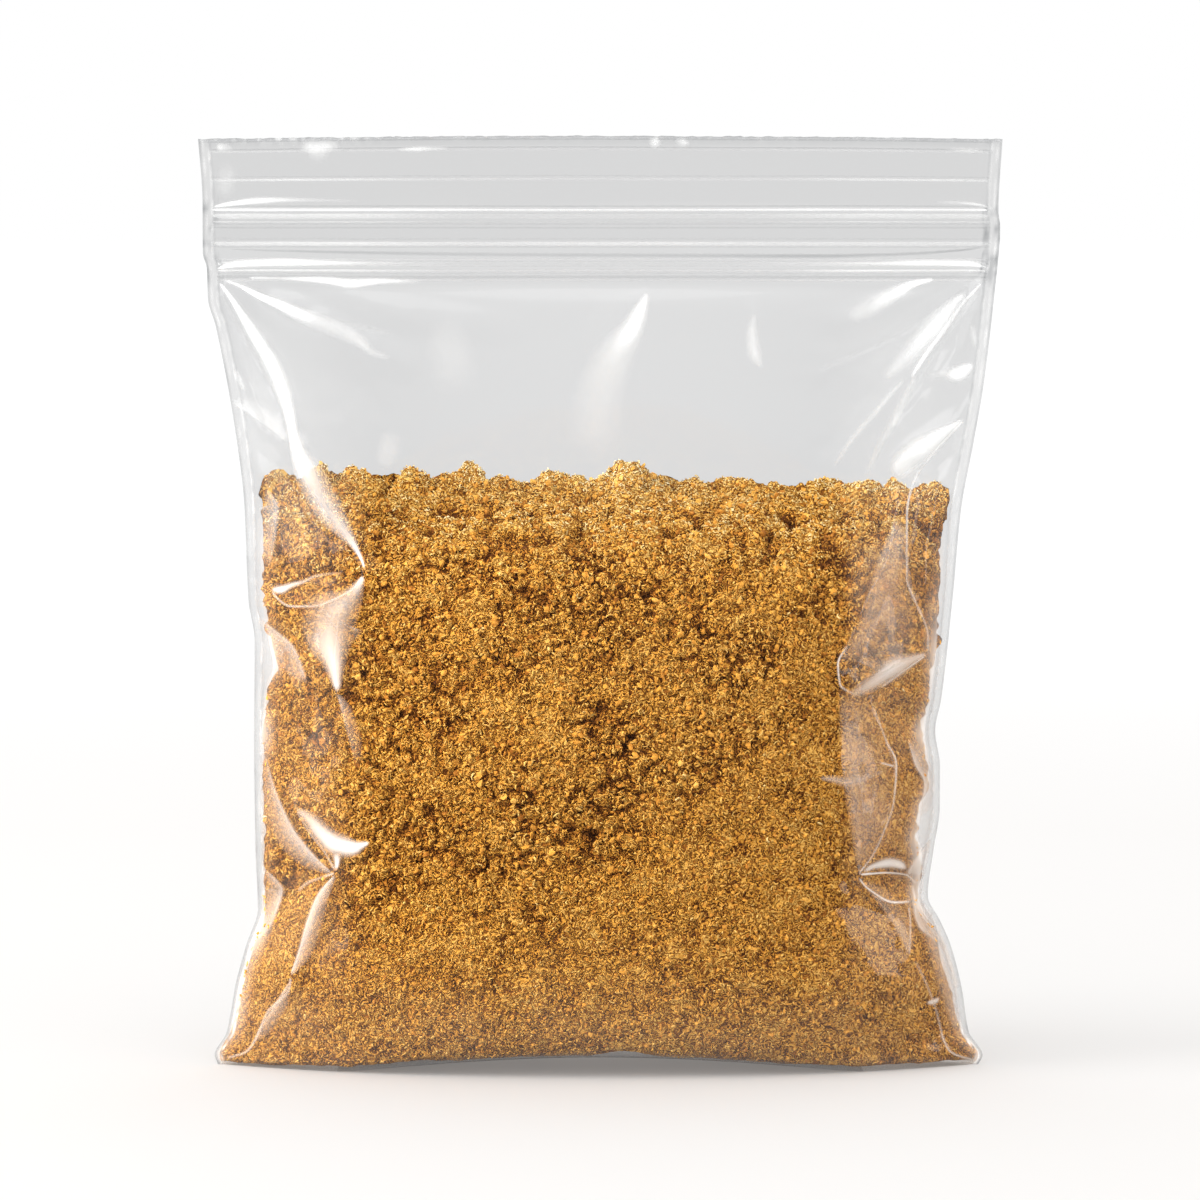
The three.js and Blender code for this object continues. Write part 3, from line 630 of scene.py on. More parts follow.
def highlight_ribbon(bm, layers, side, points, folds, face):
    """A painted highlight as a flat, closed ribbon of hazy film just inside a sheet."""
    spots = np.array(points, float)
    along = np.concatenate([[0], np.cumsum(np.hypot(*np.diff(spots[:, :2], axis=0).T))])
    steps = max(10, int(along[-1] / RIBBON_STEP))
    sheet = grid(bm, steps, RIBBON_SIDES)
    length, round_it = flat_places(sheet)
    at = (length + 1) / 2 * along[-1]
    across = 1 - 2 * np.abs(round_it)
    line = [through(np.stack([along, part], -1)) for part in spots.T]
    x, z, reach, haze_and_highlight = (part(at) for part in line)
    step = 0.1
    ahead_x, ahead_z = (part(at + step) - part(at - step) for part in line[:2])
    ahead = np.maximum(np.hypot(ahead_x, ahead_z), 1e-6)
    right_x, right_z = ahead_z / ahead, -ahead_x / ahead
    from_end = np.maximum(0, np.minimum(at, along[-1] - at) - 1e-4)
    point = np.minimum(1, from_end / RIBBON_STEP) ** 0.5
    fade_in, fade_out = 0.5 + 1.3 * spots[[0, -1], 2]
    haze_and_highlight = haze_and_highlight * smoothstep(at, 0, fade_in) * smoothstep(along[-1] - at, 0, fade_out)
    if side == 0:
        off = across * reach * 1.15 * point
        form = (1 - across**2) ** 1.5
    else:
        share = across * 0.5 + 0.5
        off = -side * (share * (reach + SIDED_EDGE) - SIDED_EDGE) * point
        fading = ((1 - share) / (1 - EDGE_SHARE)) ** 0.8
        form = np.where(share < EDGE_SHARE, share / EDGE_SHARE, fading) * 1.3
    x, z = x + off * right_x, z + off * right_z
    edge = edge_at(x, z)
    x = np.clip(x, 0.3 - edge, edge - 0.3)
    thickness = RIBBON_THICKNESS * np.sign(round_it) * (1 - across**2)
    off = np.maximum(0.03, sheet_off(x, z, edge, folds) - RIBBON_INSET) + thickness
    up = z + crown(x / edge, z) + arch(x, z)
    place = np.stack([x, lip_sway(x, z) + face * off, up], -1)
    cloud = haze_and_highlight * form
    put(sheet, layers, place, np.clip(cloud, 0, 1), np.maximum(0, -cloud), RIBBON_DUST_AND_WARM_LIGHT * below_cumin_top(z))


def film_painted_highlights(material):
    bm = bmesh.new()
    layers = [bm.verts.layers.float.new(key) for key in ("haze_and_highlight", "thick", "dust")]
    for side, *points in FRONT_PAINTED_HIGHLIGHTS:
        highlight_ribbon(bm, layers, side, points, FRONT_FOLDS, -1)
    # Highlights are painted along the back sheet's crisp folds as well.
    for line, _, _, crisp in BACK_FOLDS:
        if crisp:
            points = [(x, z, 0.6, 0.12 if z > 130 else 0.25) for x, z in line]
            highlight_ribbon(bm, layers, 0, points, BACK_FOLDS, 1)
    return shells_from(bm, "film_painted_highlights", material)


# ---- closure ----
# (height, half height, half depth, y, haze, thickness, haze in the middle) of each bead that runs along
# the mouth inside the film: the closure's tracks, and the thin lines in the lip above them. A bead's haze
# paints its highlight.
BEADS = (
    (205.6, 0.16, 0.08, 0.0, 0.0, 0.1, 1), (203.4, 0.2, 0.08, 0.0, 0.24, 0.0, 0.5),
    (203.9, 0.14, 0.08, 0.0, 0.0, 0.18, 1), (197.9, 0.16, 0.08, 0.0, 0.0, 0.06, 1),
    (197.2, 0.28, 0.08, 0.0, 0.45, 0.0, 0.45), (191.5, 0.2, 0.1, 0.0, 0.0, 0.12, 1),
    (190.65, 0.34, 0.5, -0.15, 0.85, 0.0, 0.85), (189.3, 0.62, 0.6, 0.0, 0.55, 0.0, 0.4),
    (188.0, 0.24, 0.4, -0.25, 0.4, 0.0, 0.2), (187.55, 0.17, 0.3, -0.2, 0.0, 0.07, 1),
    (186.75, 0.2, 0.3, -0.2, 0.0, 0.1, 1), (184.3, 0.17, 0.3, -0.25, 0.0, 0.03, 1),
    (183.2, 0.5, 0.55, 0.0, 0.5, 0.0, 0.9), (182.5, 0.16, 0.3, -0.2, 0.0, 0.08, 1),
    (179.75, 0.17, 0.3, -0.2, 0.3, 0.0, 0.9), (178.75, 0.6, 0.62, -0.05, 0.5, 0.0, 0.1),
    (177.25, 0.3, 0.45, -0.2, 0.7, 0.0, 0.25), (176.65, 0.15, 0.3, -0.15, 0.0, 0.05, 1),
    (175.85, 0.34, 0.4, 0.0, 0.0, 0.16, 1), (175.1, 0.2, 0.3, -0.15, 0.4, 0.0, 0.3),
)
BEAD_COLUMNS, BEAD_SIDES = 150, 10
BEAD_TAPER = 3.0  # how long its squashed ends are


def bead(bm, layers, height, half_height, half_depth, y, haze_and_highlight, thick, middle):
    """A bead along the mouth, round in section and squashed to a point at both ends. A hazy one is
    a painted highlight, brightest towards its ends."""
    sheet = grid(bm, BEAD_COLUMNS, BEAD_SIDES)
    u, turn = flat_places(sheet)
    turn = turn * math.pi
    z = height + 0 * u
    reach = edge_at(u, z) - WELD_WIDTH + 0.3
    x = u * reach
    from_end = (1 - np.abs(u)) * reach
    size = (1 - (1 - np.minimum(1, from_end / BEAD_TAPER)) ** 2) ** 0.5
    wander = 0.06 * soft_wave(x, z * 3, 31) + 0.1 * smoothstep(from_end, 6, 0) * weld_lump(x, z, 2.3)
    up = z + wander + crown(u, z) + size * half_height * np.sin(turn)
    away = y + lip_sway(x, z) + size * half_depth * np.cos(turn)
    outer = smoothstep(np.abs(x + 6 * soft_wave(x, z * 5, 30)), 26, 58)
    cloudy = haze_and_highlight * blend(middle, 1.0, outer) * (0.85 + 0.15 * soft_wave(x, z * 7, 16))
    put(sheet, layers, np.stack([x, away, up], -1), np.clip(cloudy, 0, 1), thick + 0 * u)


def closure_tracks(material):
    bm = bmesh.new()
    layers = [bm.verts.layers.float.new(key) for key in ("haze_and_highlight", "thick")]
    for one in BEADS:
        bead(bm, layers, *one)
    return shells_from(bm, "closure_tracks", material)


# ---- cumin ----
CORE_COLUMNS, CORE_ROWS = 288, 264
WALL_SHARE = 0.66  # share of the front grid's rows that lie against the film
TOP_LENGTH = 43.0  # how far the heap's sloping top runs from the front sheet to the back one
FILL_HALF_WIDTH = 78.0
clump = Cells(21)
crumb = Cells(22)
pit = Lumps(23)
drift = Lumps(24)
RIDGE_BACK = 39.0  # how far back the ridge is, but for its tallest heap
# (x, height, half-width) of the heaps along the top's back edge
RIDGE_HEAPS = (
    (-73, 2.2, 3.2), (-63, 2.8, 3.6), (-55, 2.2, 4.2), (-42.5, 2.2, 5), (-29, 2.8, 5), (-24, 1.8, 6),
    (-13, 2.4, 5), (-4, 3.0, 6.5), (6.4, 6.4, 8), (15, 1.6, 5), (21.5, 1.4, 4), (30, 1.4, 4),
    (37.5, 1.2, 3), (48, 2.4, 4), (56, 3.4, 5.5), (63.5, 3.4, 4.6), (70, 2.4, 5), (74, 1.4, 3),
)


def coarseness(x, z):
    """How coarse the cumin is: fine powder has settled low down, lower at the left."""
    settled = 34 + 46 * smoothstep(x, -25, 55) + 5 * drift(x, z, 14)
    return smoothstep(z - settled, -14, 16)


def cumin_edge(u, z):
    """How far out the cumin reaches: to a ragged line inside the side welds."""
    edge = edge_at(u, z)
    margin = margin_at(u, z)
    ragged = 0.8 * pit(u * 3, z, 1.4) + 0.8 * pit(u * 3 + 7, z, 4.6)
    hooks = 1.4 * np.maximum(0, pit(u * 3 + 20, z, 2.3) - 0.3)
    return edge - margin + (ragged + hooks) * np.minimum(1, margin / 3.0) - 0.3


def front_fill(x):
    """Height at which the cumin leaves the front sheet."""
    return 116.5 + 1.6 * drift(x, 0, 26) + 0.8 * drift(x, 40, 9)


def back_fill(x):
    """Height at which it meets the back sheet: the surface slopes up towards the back."""
    left = smoothstep(x, 10, -10) + 0.6 * smoothstep(x, -30, -60)
    return 127.4 + 1.8 * left + 0.5 * drift(x, 90, 22)


def cumin_foot(x):
    """Height at which it starts: the clear film below it shows in a low rim and one small notch."""
    notch = 1.1 * smoothstep(np.abs(x - 5.5), 8, 1)
    rims = smoothstep(np.abs(x + 48), 20, 12) + smoothstep(np.abs(x - 60), 21, 14)
    return 0.5 + notch + 0.7 * rims + 0.25 * pit(x, 60, 2.0)


def dome(near):
    """A round lump over a spot, from 1 at its top to 0 at its foot."""
    return np.sqrt(np.maximum(0, 1 - (near / 0.78) ** 2))


def crumble(x, z):
    """How far the cumin lies back from the film: cracks between clumps that the film has pressed
    flat, gaps between crumbs and small holes, all shallower in the fine powder. The bands run up to
    the right. Also the shade painted there for the cracks, gaps and holes, from 0 to 1."""
    wide = x + 1.5 * drift(x, z, 3.3) + 0.6 * drift(z, x, 1.4)
    tall = z + 1.5 * drift(z + 50, x, 3.3) + 0.6 * drift(x, z + 70, 1.4)
    a, b = 0.85 * wide + 0.53 * tall, (0.85 * tall - 0.53 * wide) * 1.25
    near, after = clump(a, b, 5.2)
    crack = band(after - near, 0.15) * smoothstep(drift(a, b, 9), -0.9, 0.5)
    near, after = crumb(wide + 70, tall, 2.6)
    split = band(after - near, 0.16) * smoothstep(drift(a, b + 60, 5.5), -0.8, 0.5)
    near, _ = crumb(wide, tall, 1.45)
    lump = 1 - dome(near)
    hole = smoothstep(pit(x, z, 1.1) + 0.8 * pit(x + 9, z, 2.6), 0.8, 1.3)
    rolling = 0.5 + 0.5 * drift(a, b, 6.5)
    coarse = blend(0.5, 1.0, coarseness(x, z))
    depth = coarse * (1.1 * crack + 0.75 * split + 0.6 * lump + 0.6 * hole + 0.3 * rolling)
    return depth, np.clip(coarse * (0.7 * crack + 0.5 * split + 0.5 * hole + 0.12 * lump) - 0.06, 0, 1)


def fluffiness(x, z):
    """The heap's top is looser and finer than the side that the film has pressed flat."""
    return smoothstep(z - front_fill(x), -10, 2)


def clump_tone(x, z):
    """Each clump is a little darker or paler than its neighbours."""
    return 0.55 * drift(x + 40, z, 4.0) + 0.45 * drift(x, z + 90, 13.0)


def heap(x, s):
    """The lumpy top of the cumin, s millimetres back from the front sheet, and the shade painted on it:
    darker in the valleys between lumps and low on them, lighter on their tops and on the heaps along the
    back edge, and less of it near the back.
    """
    wide = x + 2.4 * drift(x, s, 5.5) + 0.9 * drift(x + 60, s, 2.1)
    deep = s + 2.4 * drift(s + 30, x, 5.5) + 0.9 * drift(s + 90, x, 2.1)
    near, after = clump(wide + 300, deep, 6.4)
    less_near, less_after = crumb(wide + 60, deep, 2.8)
    fine = 0.6 + 0.8 * smoothstep(s, 22, 34)
    grain = fine * (dome(crumb(wide + 160, deep, 1.3)[0]) - 0.5)
    lumps = 3.9 * dome(near) + 1.9 * dome(less_near) + grain - 4.1
    valley_shade = band(after - near, 0.2) + 0.7 * band(less_after - less_near, 0.2)
    painted_shade = np.clip(0.02 - lumps * 0.17 + 0.42 * valley_shade, -0.2, 0.9)
    total = lumps + 0.9 * drift(wide, deep, 14)
    flat = total
    for middle, height, half in RIDGE_HEAPS:
        back = RIDGE_BACK - (4.0 if height > 5 else 0.0)
        near = np.hypot((wide - middle) / half, (deep - back) / (half * 1.5))
        total = total + height * np.maximum(0, 1 - near**1.7) ** 1.2
    return total, painted_shade * (1 - 0.85 * smoothstep(s, 18, 32)) - 0.3 * smoothstep(total - flat, 0, 2.5)


def cumin_wall(x, z, edge, folds):
    """How far the cumin's side lies from the middle plane, under a sheet of film."""
    pushed = np.minimum(0, folds_at(x, z, edge, folds))
    return np.maximum(0.05, pillow(x, z, edge) + pushed - 0.5)


def cumin_spot(u, v, face):
    """Positions on the cumin's surface, and the shade painted at each for the hollows there, from 0 to 1.
    """
    u = crowded(u, 0.35)
    x_fill = u * FILL_HALF_WIDTH
    fill, foot = front_fill(x_fill), cumin_foot(x_fill)
    z = foot + (fill - foot) * np.minimum(1, v / WALL_SHARE)
    over = np.clip((v - WALL_SHARE) / (1 - WALL_SHARE), 0, 1)
    if face > 0:
        z = blend(z, back_fill(x_fill), over)
    edge = edge_at(u, z)
    x = u * cumin_edge(u, z)
    wall = cumin_wall(x, z, edge, FRONT_FOLDS if face < 0 else BACK_FOLDS)
    depth, painted_shade = crumble(x + (200 if face > 0 else 0), z)
    shoulder = 1.6 * smoothstep(z, fill - 9, fill) if face < 0 else 0
    y = face * np.maximum(0.03, wall - (depth + shoulder) * np.minimum(1, wall / 3))
    if face < 0:
        z_back = back_fill(x_fill)
        x_back = u * cumin_edge(u, z_back)
        edge_back = edge_at(u, z_back)
        y_back = cumin_wall(x_back, z_back, edge_back, BACK_FOLDS) - 0.4
        rise, valley_shade = heap(x, over * TOP_LENGTH)
        on_top = np.minimum(1, over * 6)
        rise = rise * on_top * np.minimum(1, 0.6 + wall / 6)
        painted_shade = blend(painted_shade, valley_shade, on_top)
        x = blend(x, x_back, over)
        y = blend(y, y_back, over)
        z = blend(z, z_back, over) + rise + 1.2 * np.sin(over * math.pi) * np.minimum(1, wall / 6)
    return np.stack([x, y, z + arch(x, z)], -1), painted_shade


def cumin_place(u, v, face):
    return cumin_spot(u, v, face)[0]


def cumin_painted_shade(u, v, face):
    return cumin_spot(u, v, face)[1]


# ---- loose crumbs and flakes ----
TURN_STEP = 0.002  # share of the surface over which its slope is taken
TRIES = 3  # spots tried for each one that is wanted
UNDER_FILM = 0.1  # how far every loose piece stays from the film
FRONT_SHARE = 0.72  # of the pieces, for the front and the top


def scattered(count, seed):
    """Spots spread evenly by area over the cumin, as arrays: positions, outward normals, a direction
    along the surface, the shade painted there, and how far the film lets anything reach to the front and
    back."""
    rng = np.random.default_rng(seed)
    found = []
    in_front = int(count * FRONT_SHARE)
    for face, wanted in ((-1, in_front), (1, count - in_front)):
        u = rng.uniform(-0.99, 0.99, wanted * TRIES)
        v = rng.uniform(0.004, 0.992, wanted * TRIES)
        here, painted_shade = cumin_spot(u, v, face)
        across = cumin_place(u + TURN_STEP, v, face) - here
        up = cumin_place(u, v + TURN_STEP, face) - here
        normal = np.cross(across, up) * -face
        area = np.linalg.norm(normal, axis=1, keepdims=True)
        across = across / np.linalg.norm(across, axis=1, keepdims=True)
        chance = rng.uniform(0, np.percentile(area, 95), len(area))
        keep = np.flatnonzero(chance < area[:, 0])[:wanted]
        found.append([part[keep] for part in (here, normal / area, across, painted_shade)])
    here, normal, along, painted_shade = (np.concatenate(parts) for parts in zip(*found))
    x, z = here[:, 0], here[:, 2] - arch(here[:, 0], here[:, 2])
    edge = edge_at(x, z)
    limits = [sheet_off(x, z, edge, folds) - UNDER_FILM for folds in (FRONT_FOLDS, BACK_FOLDS)]
    return here, normal, along, painted_shade, limits


def joined(name, points, corners, tones, limits, material, smooth):
    """One mesh of many alike pieces. points is pieces x points x 3 in millimetres. Nothing is let
    through the film, whose distances to the front and the back limits gives."""
    count, each = points.shape[:2]
    front, back = limits
    points[..., 1] = np.clip(points[..., 1], -front[:, None], back[:, None])
    faces = np.array(corners)[None] + (np.arange(count) * each)[:, None, None]
    mesh = bpy.data.meshes.new(name)
    mesh.vertices.add(count * each)
    mesh.vertices.foreach_set("co", (points * MM).astype(np.float32).ravel())
    mesh.loops.add(faces.size)
    mesh.loops.foreach_set("vertex_index", faces.astype(np.int32).ravel())
    mesh.polygons.add(faces.size // 3)
    mesh.polygons.foreach_set("loop_start", np.arange(0, faces.size, 3, dtype=np.int32))
    mesh.update(calc_edges=True)
    tone = mesh.attributes.new("tone", "FLOAT", "POINT")
    tone.data.foreach_set("value", np.repeat(np.clip(tones, 0, 1), each).astype(np.float32))
    if not smooth:
        mesh.shade_flat()
    return shown(mesh, material)


def turned(rng, count):
    """Evenly random turns, as 3 x 3 matrices."""
    q = rng.normal(size=(count, 4))
    w, x, y, z = (q / np.linalg.norm(q, axis=1, keepdims=True)).T
    return np.stack([
        np.stack([1 - 2 * (y * y + z * z), 2 * (x * y - z * w), 2 * (x * z + y * w)], -1),
        np.stack([2 * (x * y + z * w), 1 - 2 * (x * x + z * z), 2 * (y * z - x * w)], -1),
        np.stack([2 * (x * z - y * w), 2 * (y * z + x * w), 1 - 2 * (x * x + y * y)], -1),
    ], 1)


def crumbs(name, count, seed, size, lift, material):
    """Broken crumbs: rough little lumps, each of twenty uneven facets."""
    here, normal, _, painted_shade, limits = scattered(count, seed)
    count = len(here)
    rng = np.random.default_rng(seed + 1)
    bm = bmesh.new()
    bmesh.ops.create_icosphere(bm, subdivisions=1, radius=0.5)
    ball = np.array([vert.co for vert in bm.verts])
    corners = [[vert.index for vert in face.verts] for face in bm.faces]
    bm.free()
    x, z = here[:, 0], here[:, 2]
    big = size * np.exp(rng.uniform(-0.5, 0.5, count)) * blend(0.75, 1.0, coarseness(x, z))
    shape = ball[None] * (1 + 0.32 * rng.uniform(-1, 1, (count, len(ball), 1)))
    shape = shape * rng.uniform((1.0, 0.65, 0.45), (1.6, 1.1, 0.9), (count, 3))[:, None]
    shape = np.einsum("nij,nkj->nki", turned(rng, count), shape * big[:, None, None])
    centre = here + normal * rng.uniform(*lift, (count, 1))
    # Painted shade: crumbs that lie in the cumin's hollows are made darker.
    tones = rng.normal(0.46, 0.06, count) - 0.5 * painted_shade + 0.05 * clump_tone(x, z)
    return joined(name, shape + centre[:, None], corners, tones, limits, material, False)


PALE_SHARE = 0.035  # of the flakes, for the ones of pale fibre


def flakes(name, count, seed, sizes, curl, rings, lift, material):
    """Curled flakes: each is a bent spindle with a three-cornered section and pointed ends. sizes is
    (length, width, thickness), curl the least and most turn in degrees, and rings the sections."""
    here, normal, along, painted_shade, limits = scattered(count, seed)
    count = len(here)
    rng = np.random.default_rng(seed + 1)
    column = lambda low, high: rng.uniform(low, high, (count, 1))
    fluffy = fluffiness(here[:, 0], here[:, 2])
    coarse = (blend(0.78, 1.1, coarseness(here[:, 0], here[:, 2])) * (1 - 0.36 * fluffy))[:, None]
    length = sizes[0] * np.exp(column(-0.4, 0.4)) * coarse
    wide = sizes[1] * column(0.7, 1.35) * coarse
    thick = sizes[2] * column(0.7, 1.3)
    turn = np.radians(column(*curl))
    heading, lean = column(0, 2 * math.pi), column(-0.35, math.pi * 0.4)
    side = np.cross(normal, along)
    a = np.cos(heading) * along + np.sin(heading) * side
    b = np.cos(lean) * np.cross(normal, a) + np.sin(lean) * normal
    w = np.cross(a, b)
    radius = length / turn
    raised = rng.uniform(0, 1, (count, 1))
    centre = here + normal * blend(*lift, raised)
    knots = []
    for share in np.linspace(-1, 1, rings + 2):
        angle = share * turn / 2
        out = np.sin(angle) * a - np.cos(angle) * b
        mid = centre + radius * (np.sin(angle) * a + (1 - np.cos(angle)) * b)
        if abs(share) == 1:
            knots.append(mid)
            continue
        full = math.sqrt(1 - share * share * 0.8)
        knots += [mid + w * wide * full / 2, mid - w * wide * full / 2, mid + out * thick * full]
    points = np.stack(knots, 1)
    corners = []
    last = points.shape[1] - 1
    for c in range(3):
        d = (c + 2) % 3
        corners.append((0, 1 + d, 1 + c))
        for r in range(rings - 1):
            low, high = 1 + 3 * r, 4 + 3 * r
            corners += [(low + c, low + d, high + d), (low + c, high + d, high + c)]
        corners.append((last, last - 3 + c, last - 3 + d))
    # Painted light: a flake that stands higher off the surface is made a little paler.
    odd = rng.normal(0, 0.05, count) + 0.04 * (raised[:, 0] - 0.5)
    odd = odd + 0.16 * (rng.uniform(0, 1, count) > 1 - PALE_SHARE)
    # Painted light and shade: flakes on the heap's top are made paler where light falls on it from above,
    # and those in the hollows darker.
    tones = 0.48 + 0.18 * fluffy + odd * (1 - 0.6 * fluffy)
    tones = tones - (0.5 + 0.1 * fluffy) * painted_shade + 0.05 * clump_tone(here[:, 0], here[:, 2])
    return joined(name, points, corners, tones, limits, material, True)


# ---- materials ----
def linear(code):
    """An sRGB hex colour, such as "c58a3c", as linear RGBA."""
    part = [int(code[i:i + 2], 16) / 255 for i in (0, 2, 4)]
    return (*[c / 12.92 if c <= 0.04045 else ((c + 0.055) / 1.055) ** 2.4 for c in part], 1.0)


def blank(name):
    material = bpy.data.materials.new(name)
    material.use_nodes = True
    material.node_tree.nodes.clear()
    return material, material.node_tree


def node(tree, kind, settings=None, stops=(), **inputs):
    """Adds a node. settings are its properties, and stops a colour ramp's (position, colour) pairs.
    Each input is a value, a socket, or a node whose first output is linked, and an input that is named
    by its number is written with an underscore before it."""
    made = tree.nodes.new("ShaderNode" + kind)
    for key, value in (settings or {}).items():
        setattr(made, key, value)
    if stops:
        points = made.color_ramp.elements
        points[0].position, points[0].color = stops[0]
        points[1].position, points[1].color = stops[-1]
        for place, colour in stops[1:-1]:
            points.new(place).color = colour
    for key, value in inputs.items():
        key = key.replace("_", " ").strip()
        socket = made.inputs[int(key)] if key.isdigit() else made.inputs[key]
        if isinstance(value, bpy.types.Node):
            value = value.outputs[0]
        if isinstance(value, bpy.types.NodeSocket):
            tree.links.new(value, socket)
        else:
            socket.default_value = value
    return made


def polyethylene_film(name, clear, dense, edge_tint, gloss, edge_gloss, edge_power, cloud):
    """Thin clear LDPE: it lets most light straight through, greys it a little and throws back a
    gloss that grows at a glancing angle, alike from both of its sides. Where it is hazy it scatters
    light: along its welds, and where highlights and a veil are painted into it as haze. A faint haze
    passes most of the light onward and is tinted warm over the cumin, by dust and by the cumin's light
    painted in, and a strong one throws the light back as a painted highlight. Where the film is thick,
    as along a weld, it is greyer. gloss and edge_gloss are the shares of light thrown back where it is
    faced squarely and seen edge on."""
    material, tree = blank(name)
    haze_and_highlight = node(tree, "Attribute", {"attribute_name": "haze_and_highlight"}).outputs["Fac"]
    thick = node(tree, "Attribute", {"attribute_name": "thick"}).outputs["Fac"]
    slant = node(tree, "LayerWeight", Blend=0.5).outputs["Facing"]
    steep = node(tree, "Math", {"operation": "POWER"}, _0=slant, _1=edge_power)
    slanted = node(tree, "Math", {"operation": "MULTIPLY"}, _0=steep, _1=edge_tint)
    dark = node(tree, "Math", {"operation": "MAXIMUM"}, _0=thick, _1=slanted)
    tint = node(tree, "MixRGB", Fac=dark, Color1=linear(clear), Color2=linear(dense))
    through_it = node(tree, "BsdfTransparent", Color=tint)
    # Over the cumin the haze is tinted warm: by cumin dust on the film, and by the cumin's warm light,
    # painted in.
    dust = node(tree, "Attribute", {"attribute_name": "dust"}).outputs["Fac"]
    thin = node(tree, "MapRange", Value=haze_and_highlight, From_Min=0.3, From_Max=0.85, To_Min=0.6, To_Max=0.1)
    dust_and_warm_light = node(tree, "Math", {"operation": "MULTIPLY"}, _0=dust, _1=thin)
    white = node(tree, "MixRGB", Fac=dust_and_warm_light, Color1=linear("ececeb"), Color2=linear("d8a86c"))
    back = node(tree, "BsdfDiffuse", Color=white)
    onward = node(tree, "BsdfTranslucent", Color=white)
    scatter = node(tree, "MixShader", _0=thin, _1=back, _2=onward)
    cloudy = node(tree, "Math", {"operation": "MULTIPLY"}, _0=haze_and_highlight, _1=cloud)
    body = node(tree, "MixShader", _0=cloudy, _1=through_it, _2=scatter)
    shine = node(tree, "BsdfGlossy", Color=(1, 1, 1, 1), Roughness=0.1)
    share = node(tree, "MapRange", Value=steep, To_Min=gloss, To_Max=edge_gloss)
    mix = node(tree, "MixShader", _0=share, _1=body, _2=shine)
    node(tree, "OutputMaterial", Surface=mix)
    return material


# Patterns on the cumin, as cells in a metre: curled shreds 1.6 mm apart, grains of 0.4 mm, and patches
# of 4 mm that are a little darker or paler.
SHRED_SCALE, GRAIN_SCALE, PATCH_SCALE = 620.0, 2600.0, 260.0
# from the dark seed coat, through the toasted husk, to pale dry fibre; painted shade moves a tone down this
# ramp, and painted light up it
SPICE_TONES = [(place, linear(code)) for place, code in (
    (0.0, "4c2605"), (0.22, "955b1a"), (0.45, "c38a33"), (0.7, "cfa75b"), (0.9, "dbc592"), (1.0, "e6dab6")
)]


def cumin_core_material():
    """The body of the ground cumin: packed curled shreds about 1 mm long and 0.4 mm wide, dull and
    dry, with the crevices between them bumped and painted darker as their shade, and more shade painted
    into the hollows."""
    material, tree = blank("ground_cumin_packed_matte")
    spot = node(tree, "TexCoord").outputs["Object"]
    swirl = node(tree, "TexNoise", Vector=spot, Scale=SHRED_SCALE, Detail=1.5, Distortion=0.9)
    turns = node(tree, "Math", {"operation": "MULTIPLY"}, _0=swirl, _1=34.0)
    wave = node(tree, "Math", {"operation": "SINE"}, _0=turns)
    curls = node(tree, "MapRange", Value=wave, From_Min=-1.0, From_Max=0.6)
    dust = node(tree, "TexNoise", Vector=spot, Scale=GRAIN_SCALE, Detail=3.0, Roughness=0.65)
    patches = node(tree, "TexNoise", Vector=spot, Scale=PATCH_SCALE, Detail=2.0)
    painted_shade = node(tree, "Attribute", {"attribute_name": "painted_shade"}).outputs["Fac"]
    tone = node(tree, "MixRGB", Fac=0.4, Color1=patches, Color2=dust)
    # Painted shade: the surface is darker where painted_shade marks a hollow.
    lowered = node(tree, "Math", {"operation": "MULTIPLY_ADD"}, _0=painted_shade, _1=-0.55, _2=tone)
    curled = node(tree, "Math", {"operation": "MULTIPLY_ADD"}, _0=curls, _1=0.42, _2=lowered)
    eased = node(tree, "Math", {"operation": "SUBTRACT"}, _0=curled, _1=0.41)
    colour = node(tree, "ValToRGB", stops=SPICE_TONES, Fac=eased)
    height = node(tree, "Math", {"operation": "MULTIPLY_ADD"}, _0=dust, _1=0.4, _2=curls)
    bump = node(tree, "Bump", Height=height, Strength=1.0, Distance=0.0006)
    body = node(
        tree, "BsdfPrincipled", Base_Color=colour, Roughness=0.85, Normal=bump, Specular_IOR_Level=0.2
    )
    node(tree, "OutputMaterial", Surface=body)
    return material


def cumin_loose_material(name, shift, roughness):
    """Loose bits of toasted cumin husk and seed: dry and matte with a faint oily sheen on the curls.
    Each bit keeps one tone, stored on the mesh, and its fibres vary it a little."""
    material, tree = blank(name)
    tone = node(tree, "Attribute", {"attribute_name": "tone"}).outputs["Fac"]
    spot = node(tree, "TexCoord").outputs["Object"]
    fibre = node(tree, "TexNoise", Vector=spot, Scale=GRAIN_SCALE, Detail=3.0, Roughness=0.65)
    fibre = node(tree, "MapRange", Value=fibre, From_Min=0.3, From_Max=0.7, To_Min=-0.12, To_Max=0.12)
    mixed = node(tree, "Math", {"operation": "ADD"}, _0=tone, _1=fibre)
    shifted = node(tree, "Math", {"operation": "ADD"}, _0=mixed, _1=shift)
    colour = node(tree, "ValToRGB", stops=SPICE_TONES, Fac=shifted)
    body = node(
        tree, "BsdfPrincipled", Base_Color=colour, Roughness=roughness, Specular_IOR_Level=0.3
    )
    node(tree, "OutputMaterial", Surface=body)
    return material


